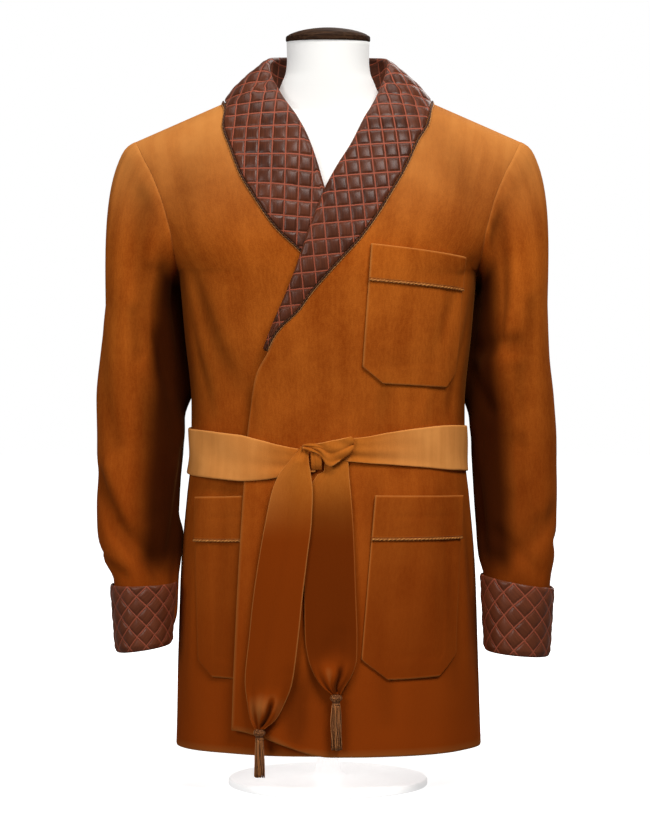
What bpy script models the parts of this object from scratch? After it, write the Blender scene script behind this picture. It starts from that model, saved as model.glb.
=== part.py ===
"""Smoking jacket with a shawl collar, tied with its belt and shown on a limbless dress form.

The front faces -Y, +X is to the viewer's right and +Z is up. The origin is on the floor,
under the middle of the form's round base. All sizes are in metres.

Every piece of the body is worked out from one surface, body_point(angle, row): a stack of
rounded rings from the hem to the shoulder seam. Angle 0 is the middle of the front, 90
degrees is the side at +X and 180 degrees is the middle of the back.
"""
from collections import namedtuple
import math

import bmesh
import bpy
import numpy as np

# Cloth, seams and trim
PANEL = 0.0018
QUILT = 0.0022
BAND = 0.0024
SEAM = 0.0004
RELIEF = 0.0012
CORD_RADIUS = 0.0013
CORD_SIDES = 5

# The body's rings, from the hem to the shoulder seam; armhole is the part of the ring's
# depth at which the panel ends for the sleeve
Section = namedtuple("Section", "height half_width front back armhole")
BODY = (
    Section(0.052, 0.1920, 0.1340, 0.1330, 0.00),
    Section(0.155, 0.1880, 0.1300, 0.1300, 0.00),
    Section(0.270, 0.1840, 0.1240, 0.1260, 0.00),
    Section(0.360, 0.1765, 0.1150, 0.1160, 0.00),
    Section(0.420, 0.1705, 0.1080, 0.1070, 0.00),
    Section(0.480, 0.1705, 0.1090, 0.1070, 0.00),
    Section(0.560, 0.1780, 0.1180, 0.1140, 0.00),
    Section(0.640, 0.1860, 0.1240, 0.1210, 0.00),
    Section(0.649, 0.1908, 0.1240, 0.1215, 0.24),
    Section(0.674, 0.2050, 0.1230, 0.1215, 0.43),
    Section(0.712, 0.2220, 0.1180, 0.1200, 0.53),
    Section(0.757, 0.2366, 0.1060, 0.1140, 0.555),
    Section(0.802, 0.2470, 0.0880, 0.1000, 0.53),
    Section(0.840, 0.2540, 0.0650, 0.0790, 0.48),
    Section(0.865, 0.2560, 0.0360, 0.0480, 0.43),
    Section(0.874, 0.2560, 0.0004, 0.0004, 0.40),
)
ARMPIT_ROW = 7
TOP_ROW = len(BODY) - 1
PANEL_ROWS = (0, 0.8, 1.5, 2.2, 2.9, 3.5, 4, 4.5, 5, 5.6, 6.3, 7, 8, 9, 10, 11, 12, 13, 14, 15)
SQUARENESS = 2.2
# Steps over which the surface's slopes are measured
SMALL_TURN = 0.004
SMALL_CLIMB = 0.02
NECK_POINT = 0.080
SHOULDER_POINT = 0.240
SHOULDER_DROP = 0.070
NECK_DEPTH = 0.053
# Columns of the back on each side, outside and inside the neckline, and of each front
BACK_COLUMNS = 6
NECK_COLUMNS = 5
FRONT_COLUMNS = 16

# Free edge of each front below its lapel; x is toward the middle of the other front
Edge = namedtuple("Edge", "height x")
FRONT_EDGE = (
    Edge(0.052, -0.1200), Edge(0.170, -0.1150), Edge(0.246, -0.1115), Edge(0.309, -0.1080),
    Edge(0.387, -0.1030), Edge(0.463, -0.0970), Edge(0.515, -0.0885),
)
NECK_EDGE = (Edge(0.863, 0.0740), Edge(0.868, 0.0800), Edge(0.874, 0.0850))
# The panel stops this far short of the lapel's roll
ROLL_SETBACK = 0.0042
# The corner of the over front hangs a little higher than the rest of the hem
HEM_RISE = 0.030
HEM_RISE_START = 0.005
HEM_RISE_WIDTH = 0.125
HEM_RISE_REACH = 0.120

# The under front and its collar are pressed in where the over front lies on them
UNDER_DEPTH = 0.0115
COVER_START = -0.080
COVER_FULL = -0.010

# Gathers that the belt draws into the body: angle, width in degrees, depth
Gather = namedtuple("Gather", "angle width depth")
GATHERS = (
    Gather(-128, 7, 0.0040), Gather(-150, 9, 0.0055), Gather(-172, 6, 0.0035),
    Gather(168, 8, 0.0050), Gather(146, 7, 0.0045), Gather(124, 9, 0.0035),
    Gather(100, 6, 0.0025), Gather(-104, 7, 0.0030), Gather(62, 6, 0.0018),
    Gather(-66, 6, 0.0018),
)
GATHER_HEIGHT = 0.420
GATHER_START = 0.026
GATHER_FULL = 0.060
GATHER_REACH = 0.100
GATHER_PULL = 1.6

# Sleeve rings below the armhole: x grows outward from the jacket's middle
Ring = namedtuple("Ring", "height inner outer front back")
SLEEVE_UNDER = (
    Ring(0.600, 0.1945, 0.2780, -0.0560, 0.0640),
    Ring(0.540, 0.1865, 0.2850, -0.0545, 0.0660),
    Ring(0.483, 0.1790, 0.2900, -0.0530, 0.0640),
    Ring(0.430, 0.1790, 0.2890, -0.0560, 0.0570),
    Ring(0.380, 0.1835, 0.2890, -0.0620, 0.0450),
    Ring(0.330, 0.1865, 0.2880, -0.0700, 0.0300),
    Ring(0.290, 0.1895, 0.2820, -0.0770, 0.0170),
    Ring(0.262, 0.1930, 0.2665, -0.0790, 0.0050),
    Ring(0.235, 0.1940, 0.2640, -0.0795, 0.0020),
    Ring(0.190, 0.1968, 0.2612, -0.0773, -0.0003),
)
SLEEVE_OVER = (
    Ring(0.600, 0.1870, 0.2745, -0.0560, 0.0640),
    Ring(0.540, 0.1800, 0.2770, -0.0545, 0.0660),
    Ring(0.483, 0.1765, 0.2830, -0.0530, 0.0640),
    Ring(0.430, 0.1775, 0.2860, -0.0560, 0.0570),
    Ring(0.380, 0.1805, 0.2860, -0.0620, 0.0450),
    Ring(0.330, 0.1835, 0.2850, -0.0700, 0.0300),
    Ring(0.290, 0.1870, 0.2820, -0.0770, 0.0170),
    Ring(0.265, 0.1935, 0.2770, -0.0790, 0.0065),
    Ring(0.235, 0.1955, 0.2745, -0.0795, 0.0040),
    Ring(0.186, 0.1973, 0.2730, -0.0783, 0.0028),
)
SLEEVE_SIDES = 16
SLEEVE_SQUARENESS = 2.1
CAP_STEPS = (0.0, 0.12, 0.28, 0.46, 0.64, 0.82)
CAP_REACH = 0.150
UNDERARM_REACH = 0.030
CAP_SPREAD = 0.8
CAP_FALL = 0.9
# Direction in which the cloth leaves the armhole below the arm: outward and up, and its pull
UNDERARM_OUT = 0.75
UNDERARM_UP = -0.66
UNDERARM_PULL = 1.2
# Outward directions at the shoulder's end: of the seam's face and of the sleeve beyond it
SEAM_FACE = (0.40, 0.92)
SEAM_AWAY = (0.92, -0.40)
RING_SPACING = 0.052
# Radius at which the creases' widths are measured, and how they fade in at the armhole and
# out above the cuff
SLEEVE_RADIUS = 0.052
CREASE_FADE_IN = (0.0, 0.5)
CREASE_FADE_OUT = (0.3, 0.0, 0.0)

# Sleeve creases: from and to, as a turn in degrees (0 outside, 90 front, 180 toward the
# body) and a height; width and depth
Crease = namedtuple("Crease", "turn_from from_height turn_to to_height width depth")
CREASES_UNDER = (
    Crease(20, 0.385, 125, 0.275, 0.016, 0.0070),
    Crease(110, 0.640, 150, 0.420, 0.014, 0.0050),
    Crease(70, 0.735, 120, 0.520, 0.015, 0.0040),
    Crease(-40, 0.520, -120, 0.440, 0.018, 0.0060),
    Crease(-30, 0.330, -110, 0.290, 0.015, 0.0050),
    Crease(-100, 0.690, -140, 0.560, 0.016, 0.0045),
)
CREASES_OVER = (
    Crease(150, 0.545, 88, 0.553, 0.013, 0.0065),
    Crease(100, 0.735, 128, 0.560, 0.015, 0.0060),
    Crease(140, 0.480, 160, 0.330, 0.016, 0.0045),
    Crease(30, 0.340, 110, 0.285, 0.015, 0.0050),
    Crease(-40, 0.470, -120, 0.520, 0.018, 0.0060),
    Crease(-100, 0.700, -140, 0.590, 0.016, 0.0045),
)

# Turned-back cuffs; the heights are those of the edges at the inner and the outer side
Cuff = namedtuple("Cuff", "inner outer front back top_inner top_outer low_inner low_outer taper")
CUFF_UNDER = Cuff(0.1880, 0.2700, -0.0860, 0.0085, 0.2580, 0.2550, 0.1840, 0.1740, 0.0060)
CUFF_OVER = Cuff(0.1895, 0.2805, -0.0860, 0.0105, 0.2680, 0.2510, 0.1760, 0.1690, 0.0050)
CUFF_SIDES = 22
CUFF_STEPS = 6
CUFF_TURN = 0.012
CUFF_ROOM = 0.0009
CUFF_DROP = 0.85

# Collar stations from the middle of the back to the end of the lapel. The neck stations
# hold the roll line, the outer edge on the body (x, height before the shoulder's slope,
# and face) and the foot of the stand.
NeckStation = namedtuple(
    "NeckStation", "roll_x roll_y roll_z edge_x edge_height edge_face foot_x foot_y foot_z")
NECK_STATIONS = (
    NeckStation(0.0000, 0.0600, 0.9080, 0.0000, 0.838, 1, 0.0000, 0.0480, 0.8590),
    NeckStation(0.0300, 0.0540, 0.9080, 0.0480, 0.838, 1, 0.0290, 0.0435, 0.8600),
    NeckStation(0.0560, 0.0370, 0.9070, 0.0920, 0.843, 1, 0.0520, 0.0275, 0.8630),
    NeckStation(0.0720, 0.0110, 0.9045, 0.1200, 0.860, 1, 0.0695, 0.0075, 0.8680),
    NeckStation(0.0765, -0.0110, 0.8960, 0.1275, 0.8735, -1, 0.0745, -0.0090, 0.8680),
    NeckStation(0.0705, -0.0330, 0.8800, 0.1240, 0.860, -1, 0.0665, -0.0290, 0.8600),
)
# The lapel stations lie on the front: the roll line and the outer edge, each by x and height
LapelStation = namedtuple("LapelStation", "roll_x roll_z edge_x edge_z")
LAPEL_OVER = (
    LapelStation(0.0605, 0.8570, 0.1190, 0.8220),
    LapelStation(0.0470, 0.8305, 0.1070, 0.8020),
    LapelStation(0.0310, 0.7983, 0.0925, 0.7710),
    LapelStation(0.0138, 0.7709, 0.0753, 0.7412),
    LapelStation(0.0000, 0.7450, 0.0570, 0.7120),
    LapelStation(-0.0110, 0.7180, 0.0360, 0.6835),
    LapelStation(-0.0210, 0.6920, 0.0165, 0.6625),
    LapelStation(-0.0305, 0.6630, -0.0030, 0.6410),
    LapelStation(-0.0410, 0.6340, -0.0220, 0.6190),
    LapelStation(-0.0525, 0.6060, -0.0390, 0.5940),
    LapelStation(-0.0640, 0.5800, -0.0550, 0.5710),
    LapelStation(-0.0765, 0.5475, -0.0690, 0.5430),
)
LAPEL_UNDER = (
    LapelStation(0.0565, 0.8570, 0.1255, 0.8220),
    LapelStation(0.0430, 0.8345, 0.1150, 0.7900),
    LapelStation(0.0290, 0.8090, 0.1035, 0.7610),
    LapelStation(0.0170, 0.7800, 0.0860, 0.7325),
    LapelStation(0.0070, 0.7480, 0.0630, 0.6995),
    LapelStation(-0.0050, 0.7180, 0.0380, 0.6750),
    LapelStation(-0.0165, 0.6900, 0.0150, 0.6515),
    LapelStation(-0.0285, 0.6620, -0.0060, 0.6310),
    LapelStation(-0.0405, 0.6340, -0.0245, 0.6110),
    LapelStation(-0.0525, 0.6060, -0.0410, 0.5900),
    LapelStation(-0.0640, 0.5800, -0.0550, 0.5695),
    LapelStation(-0.0765, 0.5475, -0.0690, 0.5430),
)
COLLAR_STEP = 0.0175
COLLAR_COLUMNS = 5
COLLAR_SLIVER = 0.0008
# A collar cell narrower than this share of a whole one stays flat
CELL_SHARE = 0.3
COLLAR_LAPEL_TURN = 0.007
FOOT_DEPTH = 0.007
CENTRE_BACK = 0.0002
FALL_BULGE = 0.004
NEAR_BODY = 0.012
SLOPE_STEP = 0.002
STEEPEST = 2.6
# Room between a collar and the panel below it, by whether that panel is pressed in
COLLAR_ROOM = {False: 0.0005, True: 0.0014}
TURN_ROOM = 0.0016
PIPING_ROOM = 0.0012
PIPING_SEAM = 0.0008
# Stations are spaced by the roll's length, or by this share of the outer edge's if longer
EDGE_SHARE = 0.85
ROLL_TURNS = (40, 140)

# Patch pockets by their corners as the front shows them: x and height
Pocket = namedtuple("Pocket", "name left_top right_top left_low right_low chamfer band front")
POCKETS = (
    Pocket("chest_pocket", (0.0520, 0.6770), (0.1660, 0.6620), (0.0400, 0.5080),
           (0.1560, 0.4990), 0.020, 0.042, "over"),
    Pocket("lower_pocket_over", (0.0570, 0.3700), (0.1640, 0.3660), (0.0380, 0.1450),
           (0.1560, 0.1480), 0.026, 0.052, "over"),
    Pocket("lower_pocket_under", (-0.1640, 0.3640), (-0.0600, 0.3720), (-0.1620, 0.1450),
           (-0.0500, 0.1440), 0.020, 0.052, "under"),
)
POCKET_COLUMNS = 8
POCKET_ROWS = 8
POCKET_LIFT = {"over": 0.0012, "under": 0.0014}

# The belt round the waist, from the knot's left over the back to its right
BeltSection = namedtuple("BeltSection", "angle middle width")
BELT = (
    BeltSection(-4, 0.4115, 0.026), BeltSection(-12, 0.4120, 0.032), BeltSection(-18, 0.4115, 0.040),
    BeltSection(-26, 0.4125, 0.049), BeltSection(-38, 0.4150, 0.057),
    BeltSection(-62, 0.4180, 0.058), BeltSection(-95, 0.4190, 0.057),
    BeltSection(-140, 0.4200, 0.057), BeltSection(-180, 0.4200, 0.057),
    BeltSection(-220, 0.4205, 0.057), BeltSection(-265, 0.4215, 0.057),
    BeltSection(-298, 0.4255, 0.056), BeltSection(-322, 0.4275, 0.048),
    BeltSection(-336, 0.4270, 0.040), BeltSection(-347, 0.4255, 0.032),
    BeltSection(-355, 0.4255, 0.027),
)
BELT_COLUMNS = 54
BELT_LIFT = 0.0008
BELT_ROWS = (-0.5, 0.0, 0.5)

# The knot's wing, a strip that runs to the right, folds and runs back behind itself: x, the
# lower and upper edge and the distance of its middle off the body
Wing = namedtuple("Wing", "x low high off")
KNOT_WING = (
    Wing(-0.0300, 0.4275, 0.4325, 0.0125), Wing(-0.0200, 0.4250, 0.4340, 0.0132),
    Wing(-0.0100, 0.4200, 0.4350, 0.0140), Wing(-0.0010, 0.4065, 0.4370, 0.0146),
    Wing(0.0036, 0.4048, 0.4380, 0.0147), Wing(0.0120, 0.4105, 0.4395, 0.0142),
    Wing(0.0205, 0.4170, 0.4415, 0.0128), Wing(0.0268, 0.4235, 0.4425, 0.0108),
    Wing(0.0298, 0.4275, 0.4395, 0.0090), Wing(0.0262, 0.4235, 0.4370, 0.0076),
    Wing(0.0180, 0.4160, 0.4360, 0.0076), Wing(0.0020, 0.4130, 0.4360, 0.0076),
)
WING_PUFF = 0.0008
WING_ROWS = 4
WRAP_COLUMNS = 4
# The short wrap below the wing: its path down the front, by height and distance off
Wrap = namedtuple("Wrap", "height off")
KNOT_WRAP = (
    Wrap(0.4310, 0.0050), Wrap(0.4270, 0.0078), Wrap(0.4210, 0.0098), Wrap(0.4140, 0.0104),
    Wrap(0.4075, 0.0090), Wrap(0.4035, 0.0062), Wrap(0.4020, 0.0048),
)
WRAP_LEFT = -0.0200
WRAP_RIGHT = -0.0075

# Hanging belt ends: height, left and right edge as the front shows them, and the distance
# off the body at the left edge, the middle and the right edge
Tail = namedtuple("Tail", "height left right off_left off_middle off_right")
TAIL_FRONT = (
    Tail(0.4300, -0.0330, -0.0245, 0.0086, 0.0086, 0.0086),
    Tail(0.4250, -0.0365, -0.0235, 0.0086, 0.0088, 0.0086),
    Tail(0.4100, -0.0470, -0.0225, 0.0092, 0.0135, 0.0092),
    Tail(0.3970, -0.0568, -0.0206, 0.0090, 0.0125, 0.0090),
    Tail(0.3730, -0.0665, -0.0181, 0.0085, 0.0100, 0.0085),
    Tail(0.3390, -0.0737, -0.0193, 0.0080, 0.0090, 0.0085),
    Tail(0.2970, -0.0810, -0.0242, 0.0080, 0.0095, 0.0085),
    Tail(0.2460, -0.0883, -0.0302, 0.0080, 0.0105, 0.0085),
    Tail(0.1976, -0.0931, -0.0351, 0.0080, 0.0115, 0.0085),
    Tail(0.1445, -0.0979, -0.0423, 0.0085, 0.0140, 0.0085),
    Tail(0.1142, -0.0943, -0.0532, 0.0090, 0.0150, 0.0090),
    Tail(0.0985, -0.0907, -0.0617, 0.0100, 0.0150, 0.0100),
    Tail(0.0870, -0.0850, -0.0745, 0.0120, 0.0130, 0.0120),
)
TAIL_REAR = (
    Tail(0.4170, -0.0010, 0.0180, 0.0036, 0.0036, 0.0036),
    Tail(0.4095, -0.0040, 0.0245, 0.0036, 0.0036, 0.0036),
    Tail(0.4000, -0.0050, 0.0252, 0.0032, 0.0042, 0.0034),
    Tail(0.3950, -0.0130, 0.0255, 0.0032, 0.0040, 0.0034),
    Tail(0.3680, -0.0240, 0.0280, 0.0030, 0.0034, 0.0036),
    Tail(0.3200, -0.0270, 0.0310, 0.0030, 0.0034, 0.0040),
    Tail(0.2480, -0.0285, 0.0335, 0.0030, 0.0040, 0.0045),
    Tail(0.1976, -0.0275, 0.0350, 0.0030, 0.0050, 0.0050),
    Tail(0.1740, -0.0240, 0.0345, 0.0034, 0.0070, 0.0055),
    Tail(0.1530, -0.0165, 0.0285, 0.0050, 0.0100, 0.0065),
    Tail(0.1385, -0.0060, 0.0195, 0.0075, 0.0120, 0.0085),
    Tail(0.1300, 0.0045, 0.0150, 0.0090, 0.0110, 0.0090),
)
TAIL_COLUMNS = 6
TAIL_STEPS = 14
PLEATS = 2
PLEAT_DEPTH = 0.0015
PLEAT_REACH = 0.025

# Tassels hang from the tails' feet: their lengths
TASSEL_FRONT_LENGTH = 0.0600
TASSEL_REAR_LENGTH = 0.0690
TASSEL_HEAD_RADIUS = 0.0066
TASSEL_HEAD_HEIGHT = 0.0120
TASSEL_PROFILE = (
    # share of the head's radius, drop below its top
    (0.30, 0.0), (0.85, 0.0025), (1.0, 0.0055), (0.72, 0.0085), (0.80, TASSEL_HEAD_HEIGHT),
)
TASSEL_ROOTS = (0.50, 0.22)
TASSEL_SIDES = 8
STRAND_INSET = 0.0002
STRAND_FLARE = 1.22
STRAND_FLARE_AT = 0.45
STRAND_UNEVEN = 0.05

# Dress form: a torso clear of the cloth, which it carries at the shoulders
FORM_BOTTOM = 0.100
FORM_SIDES = 24
FORM_ROWS = (0.45, 2, 3, 4, 5, 6, 7, 9, 10, 11, 12, 13)
FORM_FRONT_INSET = 0.0205
FORM_BACK_INSET = 0.0090
FORM_SHOULDER_INSET = 0.0034
FORM_THIN_FROM = 9
FORM_THIN_TO = 13
FORM_TOP_INSET = 0.0026
FORM_TOP_ROUND = 0.0040
FORM_NECK_INSET = 0.0120
FORM_NECK_FROM = 0.0800
FORM_NECK_TO = 0.1250
FORM_ARM_CUT = 0.2120
FORM_ARM_ROUND = 0.0300
FORM_FOOT_SHARE = 0.93
FORM_FRONT_BLEND = (-0.2, 0.6)
SHOULDER_LOOPS = (
    # half width, half depth, middle
    (0.1900, 0.0550, 0.0050), (0.1600, 0.0525, 0.0030), (0.1250, 0.0500, 0.0010),
    (0.0900, 0.0475, -0.0010), (0.0680, 0.0445, -0.0035),
)
NECK_LOOPS = (
    # half width, half depth, height
    (0.0570, 0.0460, 0.8780), (0.0525, 0.0470, 0.8900), (0.0510, 0.0480, 0.9050),
    (0.0515, 0.0490, 0.9275),
)
NECK_MIDDLE = -0.0060
NECK_TOP = 0.9275
CAP_PROFILE = (
    # radius, rise above the neck
    (0.0, 0.0), (0.0500, 0.0), (0.0525, 0.0015), (0.0525, 0.0065), (0.0495, 0.0085),
    (0.0440, 0.0110), (0.0300, 0.0150), (0.0140, 0.0175), (0.0, 0.0182),
)
CAP_SIDES = 20
STAND_PROFILE = (
    # radius, height
    (0.0, 0.0), (0.1250, 0.0), (0.1250, 0.0050), (0.1225, 0.0080), (0.0300, 0.0110),
    (0.0170, 0.0170), (0.0140, 0.0280), (0.0140, 0.0996), (0.0, 0.0996),
)
STAND_SIDES = 24

VELVET = ("velvet", (0.36, 0.105, 0.014), 0.75, 0.0)
BELT_VELVET = ("belt_velvet", (0.42, 0.15, 0.035), 0.75, 0.0)
SATIN = ("quilted_satin", (0.085, 0.032, 0.022), 0.40, 0.0)
CORD = ("piping_cord", (0.11, 0.04, 0.015), 0.70, 0.0)
TASSEL = ("tassel_thread", (0.17, 0.075, 0.038), 0.60, 0.0)
JERSEY = ("white_jersey", (0.86, 0.86, 0.85), 0.80, 0.0)
CAP_WOOD = ("neck_cap_wood", (0.04, 0.022, 0.012), 0.35, 0.0)
STAND_PAINT = ("stand_paint", (0.86, 0.86, 0.86), 0.45, 0.0)


def clear_scene():
    for old in list(bpy.data.objects):
        bpy.data.objects.remove(old, do_unlink=True)


def material(look):
    name, colour, roughness, metallic = look
    found = bpy.data.materials.get(name)
    if found:
        return found
    made = bpy.data.materials.new(name)
    made.use_nodes = True
    shader = made.node_tree.nodes["Principled BSDF"]
    shader.inputs["Base Color"].default_value = (*colour, 1.0)
    shader.inputs["Roughness"].default_value = roughness
    shader.inputs["Metallic"].default_value = metallic
    return made


def add_object(name, vertices, faces, look):
    """One named object from a closed mesh, its faces turned outward."""
    mesh = bpy.data.meshes.new(name)
    mesh.from_pydata([tuple(v) for v in vertices], [], faces)
    shape = bmesh.new()
    shape.from_mesh(mesh)
    bmesh.ops.triangulate(shape, faces=shape.faces)
    if shape.calc_volume(signed=True) < 0:
        bmesh.ops.reverse_faces(shape, faces=shape.faces)
    shape.to_mesh(mesh)
    shape.free()
    mesh.shade_smooth()
    mesh.materials.append(material(look))
    made = bpy.data.objects.new(name, mesh)
    bpy.context.collection.objects.link(made)
    return made


def smooth_curve(keys, values):
    """A smooth function through a short table, which never overshoots its rows."""
    keys = np.asarray(keys, float)
    values = np.asarray(values, float)
    steps = np.diff(keys)
    slopes = np.diff(values) / steps
    tangents = np.zeros_like(values)
    for i in range(1, len(keys) - 1):
        if slopes[i - 1] * slopes[i] > 0:
            before = 2 * steps[i] + steps[i - 1]
            after = steps[i] + 2 * steps[i - 1]
            tangents[i] = (before + after) / (before / slopes[i - 1] + after / slopes[i])
    tangents[0] = slopes[0]
    tangents[-1] = slopes[-1]

    def value(at):
        at = np.clip(np.asarray(at, float), keys[0], keys[-1])
        i = np.clip(np.searchsorted(keys, at, side="right") - 1, 0, len(keys) - 2)
        step = keys[i + 1] - keys[i]
        t = (at - keys[i]) / step
        start = values[i] * (1 + 2 * t) * (1 - t) ** 2 + tangents[i] * step * t * (1 - t) ** 2
        end = values[i + 1] * t * t * (3 - 2 * t) + tangents[i + 1] * step * t * t * (t - 1)
        return start + end

    return value


def columns_of(table, key):
    """A smooth function for each named column of a table."""
    order = sorted(table, key=lambda entry: getattr(entry, key))
    keys = [getattr(entry, key) for entry in order]
    names = [name for name in table[0]._fields if name != key]
    return {name: smooth_curve(keys, [getattr(entry, name) for entry in order])
            for name in names}


def blend(low, high, at):
    """0 below low, 1 above high and smooth between them."""
    t = np.clip((np.asarray(at, float) - low) / (high - low), 0, 1)
    return t * t * (3 - 2 * t)


def unit(vectors):
    return vectors / np.linalg.norm(vectors, axis=-1, keepdims=True)


ROWS = np.arange(len(BODY))
BODY_AT = {name: smooth_curve(ROWS, [getattr(entry, name) for entry in BODY])
           for name in Section._fields}
DENSE = 600
DENSE_ROWS = np.linspace(0, TOP_ROW, DENSE)
UPPER_ROWS = np.arange(ARMPIT_ROW + 3, TOP_ROW + 1)
DENSE_UPPER_ROWS = np.linspace(ARMPIT_ROW + 3, TOP_ROW, DENSE // 3)


def opening(lapel, side):
    """The free edge of a front as x by height: front edge, roll line and neck."""
    rolls = [Edge(s.roll_z, s.roll_x + ROLL_SETBACK) for s in reversed(lapel)]
    edges = FRONT_EDGE + tuple(rolls) + NECK_EDGE
    return smooth_curve([e.height for e in edges], [side * e.x for e in edges])


OVER_EDGE = opening(LAPEL_OVER, 1)


def shoulder_slope(x, height):
    """How far a point lies below its row's height, out along the shoulder."""
    low = BODY[ARMPIT_ROW].height
    rise = np.clip((height - low) / (BODY[-1].height - low), 0, 1)
    out = np.clip((np.abs(x) - NECK_POINT) / (SHOULDER_POINT - NECK_POINT), 0, 1.3)
    return SHOULDER_DROP * rise * out


def gather_depth(angle, height):
    """Depth of the soft gathers above and below the belt."""
    off = np.abs(height - GATHER_HEIGHT)
    reach = GATHER_PULL * blend(GATHER_START, GATHER_FULL, off) * np.exp(-(off / GATHER_REACH) ** 2)
    total = np.zeros(np.broadcast(angle, height).shape)
    for fold in GATHERS:
        away = (np.degrees(angle) - fold.angle + 180) % 360 - 180
        total = total + fold.depth * np.exp(-(away / fold.width) ** 2)
    return total * reach


def ring_point(angle, row):
    """The plain ring at a row, without gathers."""
    power = 2 / SQUARENESS
    sine, cosine = np.sin(angle), np.cos(angle)
    height = BODY_AT["height"](row)
    depth = np.where(cosine > 0, BODY_AT["front"](row), BODY_AT["back"](row))
    x = BODY_AT["half_width"](row) * np.sign(sine) * np.abs(sine) ** power
    y = -depth * np.sign(cosine) * np.abs(cosine) ** power
    return np.stack([x, y, height - shoulder_slope(x, height)], axis=-1)


def ring_normal(angle, row):
    low = np.clip(row - SMALL_CLIMB, 0, TOP_ROW)
    high = np.clip(row + SMALL_CLIMB, 0, TOP_ROW)
    across = ring_point(angle + SMALL_TURN, row) - ring_point(angle - SMALL_TURN, row)
    up = ring_point(angle, high) - ring_point(angle, low)
    return unit(np.cross(across, up))


def body_point(angle, row, lift=0.0):
    """A point of the jacket's outer face, moved out by lift, and its outward direction."""
    angle, row = np.broadcast_arrays(np.asarray(angle, float), np.asarray(row, float))
    normal = ring_normal(angle, row)
    ridge = (row > TOP_ROW - SMALL_CLIMB / 2)[..., None]
    normal = np.where(ridge, unit(normal * (1, 0, 1)), normal)
    fold = gather_depth(angle, BODY_AT["height"](row))
    out = np.asarray(lift) - fold
    return ring_point(angle, row) + normal * out[..., None], normal


def angle_at(x, row):
    """The front angle at which a row's ring has this x."""
    part = np.clip(np.abs(x) / BODY_AT["half_width"](row), 0, 1)
    return np.sign(x) * np.arcsin(part ** (SQUARENESS / 2))


def row_at(x, z):
    """The row whose ring passes through height z at this x."""
    heights = BODY_AT["height"](DENSE_ROWS)
    x, z = np.broadcast_arrays(np.asarray(x, float), np.asarray(z, float))
    found = [np.interp(b, heights - shoulder_slope(a, heights), DENSE_ROWS)
             for a, b in zip(x.ravel(), z.ravel())]
    return np.array(found).reshape(x.shape)


def front_point(x, z, lift=0.0):
    """A point on the front by the x and height that the front view shows."""
    row = row_at(x, z)
    return body_point(angle_at(x, row), row, lift)


def under_sink(x, z):
    """How far the under front is pressed in below the over front."""
    return UNDER_DEPTH * blend(COVER_START, COVER_FULL, x - OVER_EDGE(z))


def grid_faces(rows, columns, offset=0, around=False, flip=False):
    """Quads of a grid of points; around joins the last column to the first."""
    faces = []
    last = columns if around else columns - 1
    for i in range(rows - 1):
        for j in range(last):
            k = (j + 1) % columns
            quad = [i * columns + j, i * columns + k, (i + 1) * columns + k, (i + 1) * columns + j]
            faces.append([offset + n for n in (quad[::-1] if flip else quad)])
    return faces


def wall(name, outer, inner, look, around=False):
    """A closed cloth wall between two grids of points with the same rows and columns."""
    rows, columns = outer.shape[:2]
    count = rows * columns
    faces = grid_faces(rows, columns, 0, around)
    faces += grid_faces(rows, columns, count, around, flip=True)
    last = columns if around else columns - 1
    for i in (0, rows - 1):
        for j in range(last):
            k = (j + 1) % columns
            a, b = i * columns + j, i * columns + k
            faces.append([a, b, b + count, a + count] if i else [b, a, a + count, b + count])
    if not around:
        for i in range(rows - 1):
            for j in (0, columns - 1):
                a, b = i * columns + j, (i + 1) * columns + j
                faces.append([b, a, a + count, b + count] if j else [a, b, b + count, a + count])
    points = np.concatenate([outer.reshape(-1, 3), inner.reshape(-1, 3)])
    return add_object(name, points, faces, look)


def grid_normals(points, around=False):
    """Outward directions of a grid whose rows climb and whose columns run to the right."""
    if around:
        across = np.roll(points, -1, axis=1) - np.roll(points, 1, axis=1)
    else:
        across = np.gradient(points, axis=1)
    return unit(np.cross(across, np.gradient(points, axis=0)))


def tube(name, route, radius, look, sides=CORD_SIDES):
    """A closed cord along a route of points, with flat ends."""
    along = unit(np.gradient(route, axis=0))
    side = np.zeros_like(route)
    side[0] = unit(np.cross(along[0], (0, 0, 1)))
    for i in range(1, len(route)):
        side[i] = unit(side[i - 1] - along[i] * np.dot(side[i - 1], along[i]))
    other = np.cross(along, side)
    turns = np.linspace(0, 2 * math.pi, sides, endpoint=False)
    ring = [route + radius * (side * math.cos(t) + other * math.sin(t)) for t in turns]
    points = np.stack(ring, axis=1)
    faces = grid_faces(len(route), sides, 0, around=True)
    last = (len(route) - 1) * sides
    faces += [list(range(sides))[::-1], [last + j for j in range(sides)]]
    return add_object(name, points.reshape(-1, 3), faces, look)


def revolve(name, profile, sides, look, middle=(0, 0)):
    """A turned solid; the profile's first and last points lie on the axis."""
    turns = np.linspace(0, 2 * math.pi, sides, endpoint=False)
    points = [(middle[0], middle[1], profile[0][1])]
    for radius, height in profile[1:-1]:
        points += [(middle[0] + radius * math.cos(t), middle[1] + radius * math.sin(t), height)
                   for t in turns]
    points.append((middle[0], middle[1], profile[-1][1]))
    rings = len(profile) - 2
    faces = grid_faces(rings, sides, 1, around=True)
    top = len(points) - 1
    for j in range(sides):
        k = (j + 1) % sides
        faces.append([0, 1 + k, 1 + j])
        faces.append([top, 1 + (rings - 1) * sides + j, 1 + (rings - 1) * sides + k])
    return add_object(name, points, faces, look)


def armhole_angle(row):
    """The angle at which a front ends: the side seam, and the armhole above it."""
    return np.arccos(BODY_AT["armhole"](row) ** (SQUARENESS / 2))


def side_gap(row):
    """Half of the seam at the side, as an angle."""
    return 0.5 * SEAM / BODY_AT["front"](np.minimum(row, ARMPIT_ROW))


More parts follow.
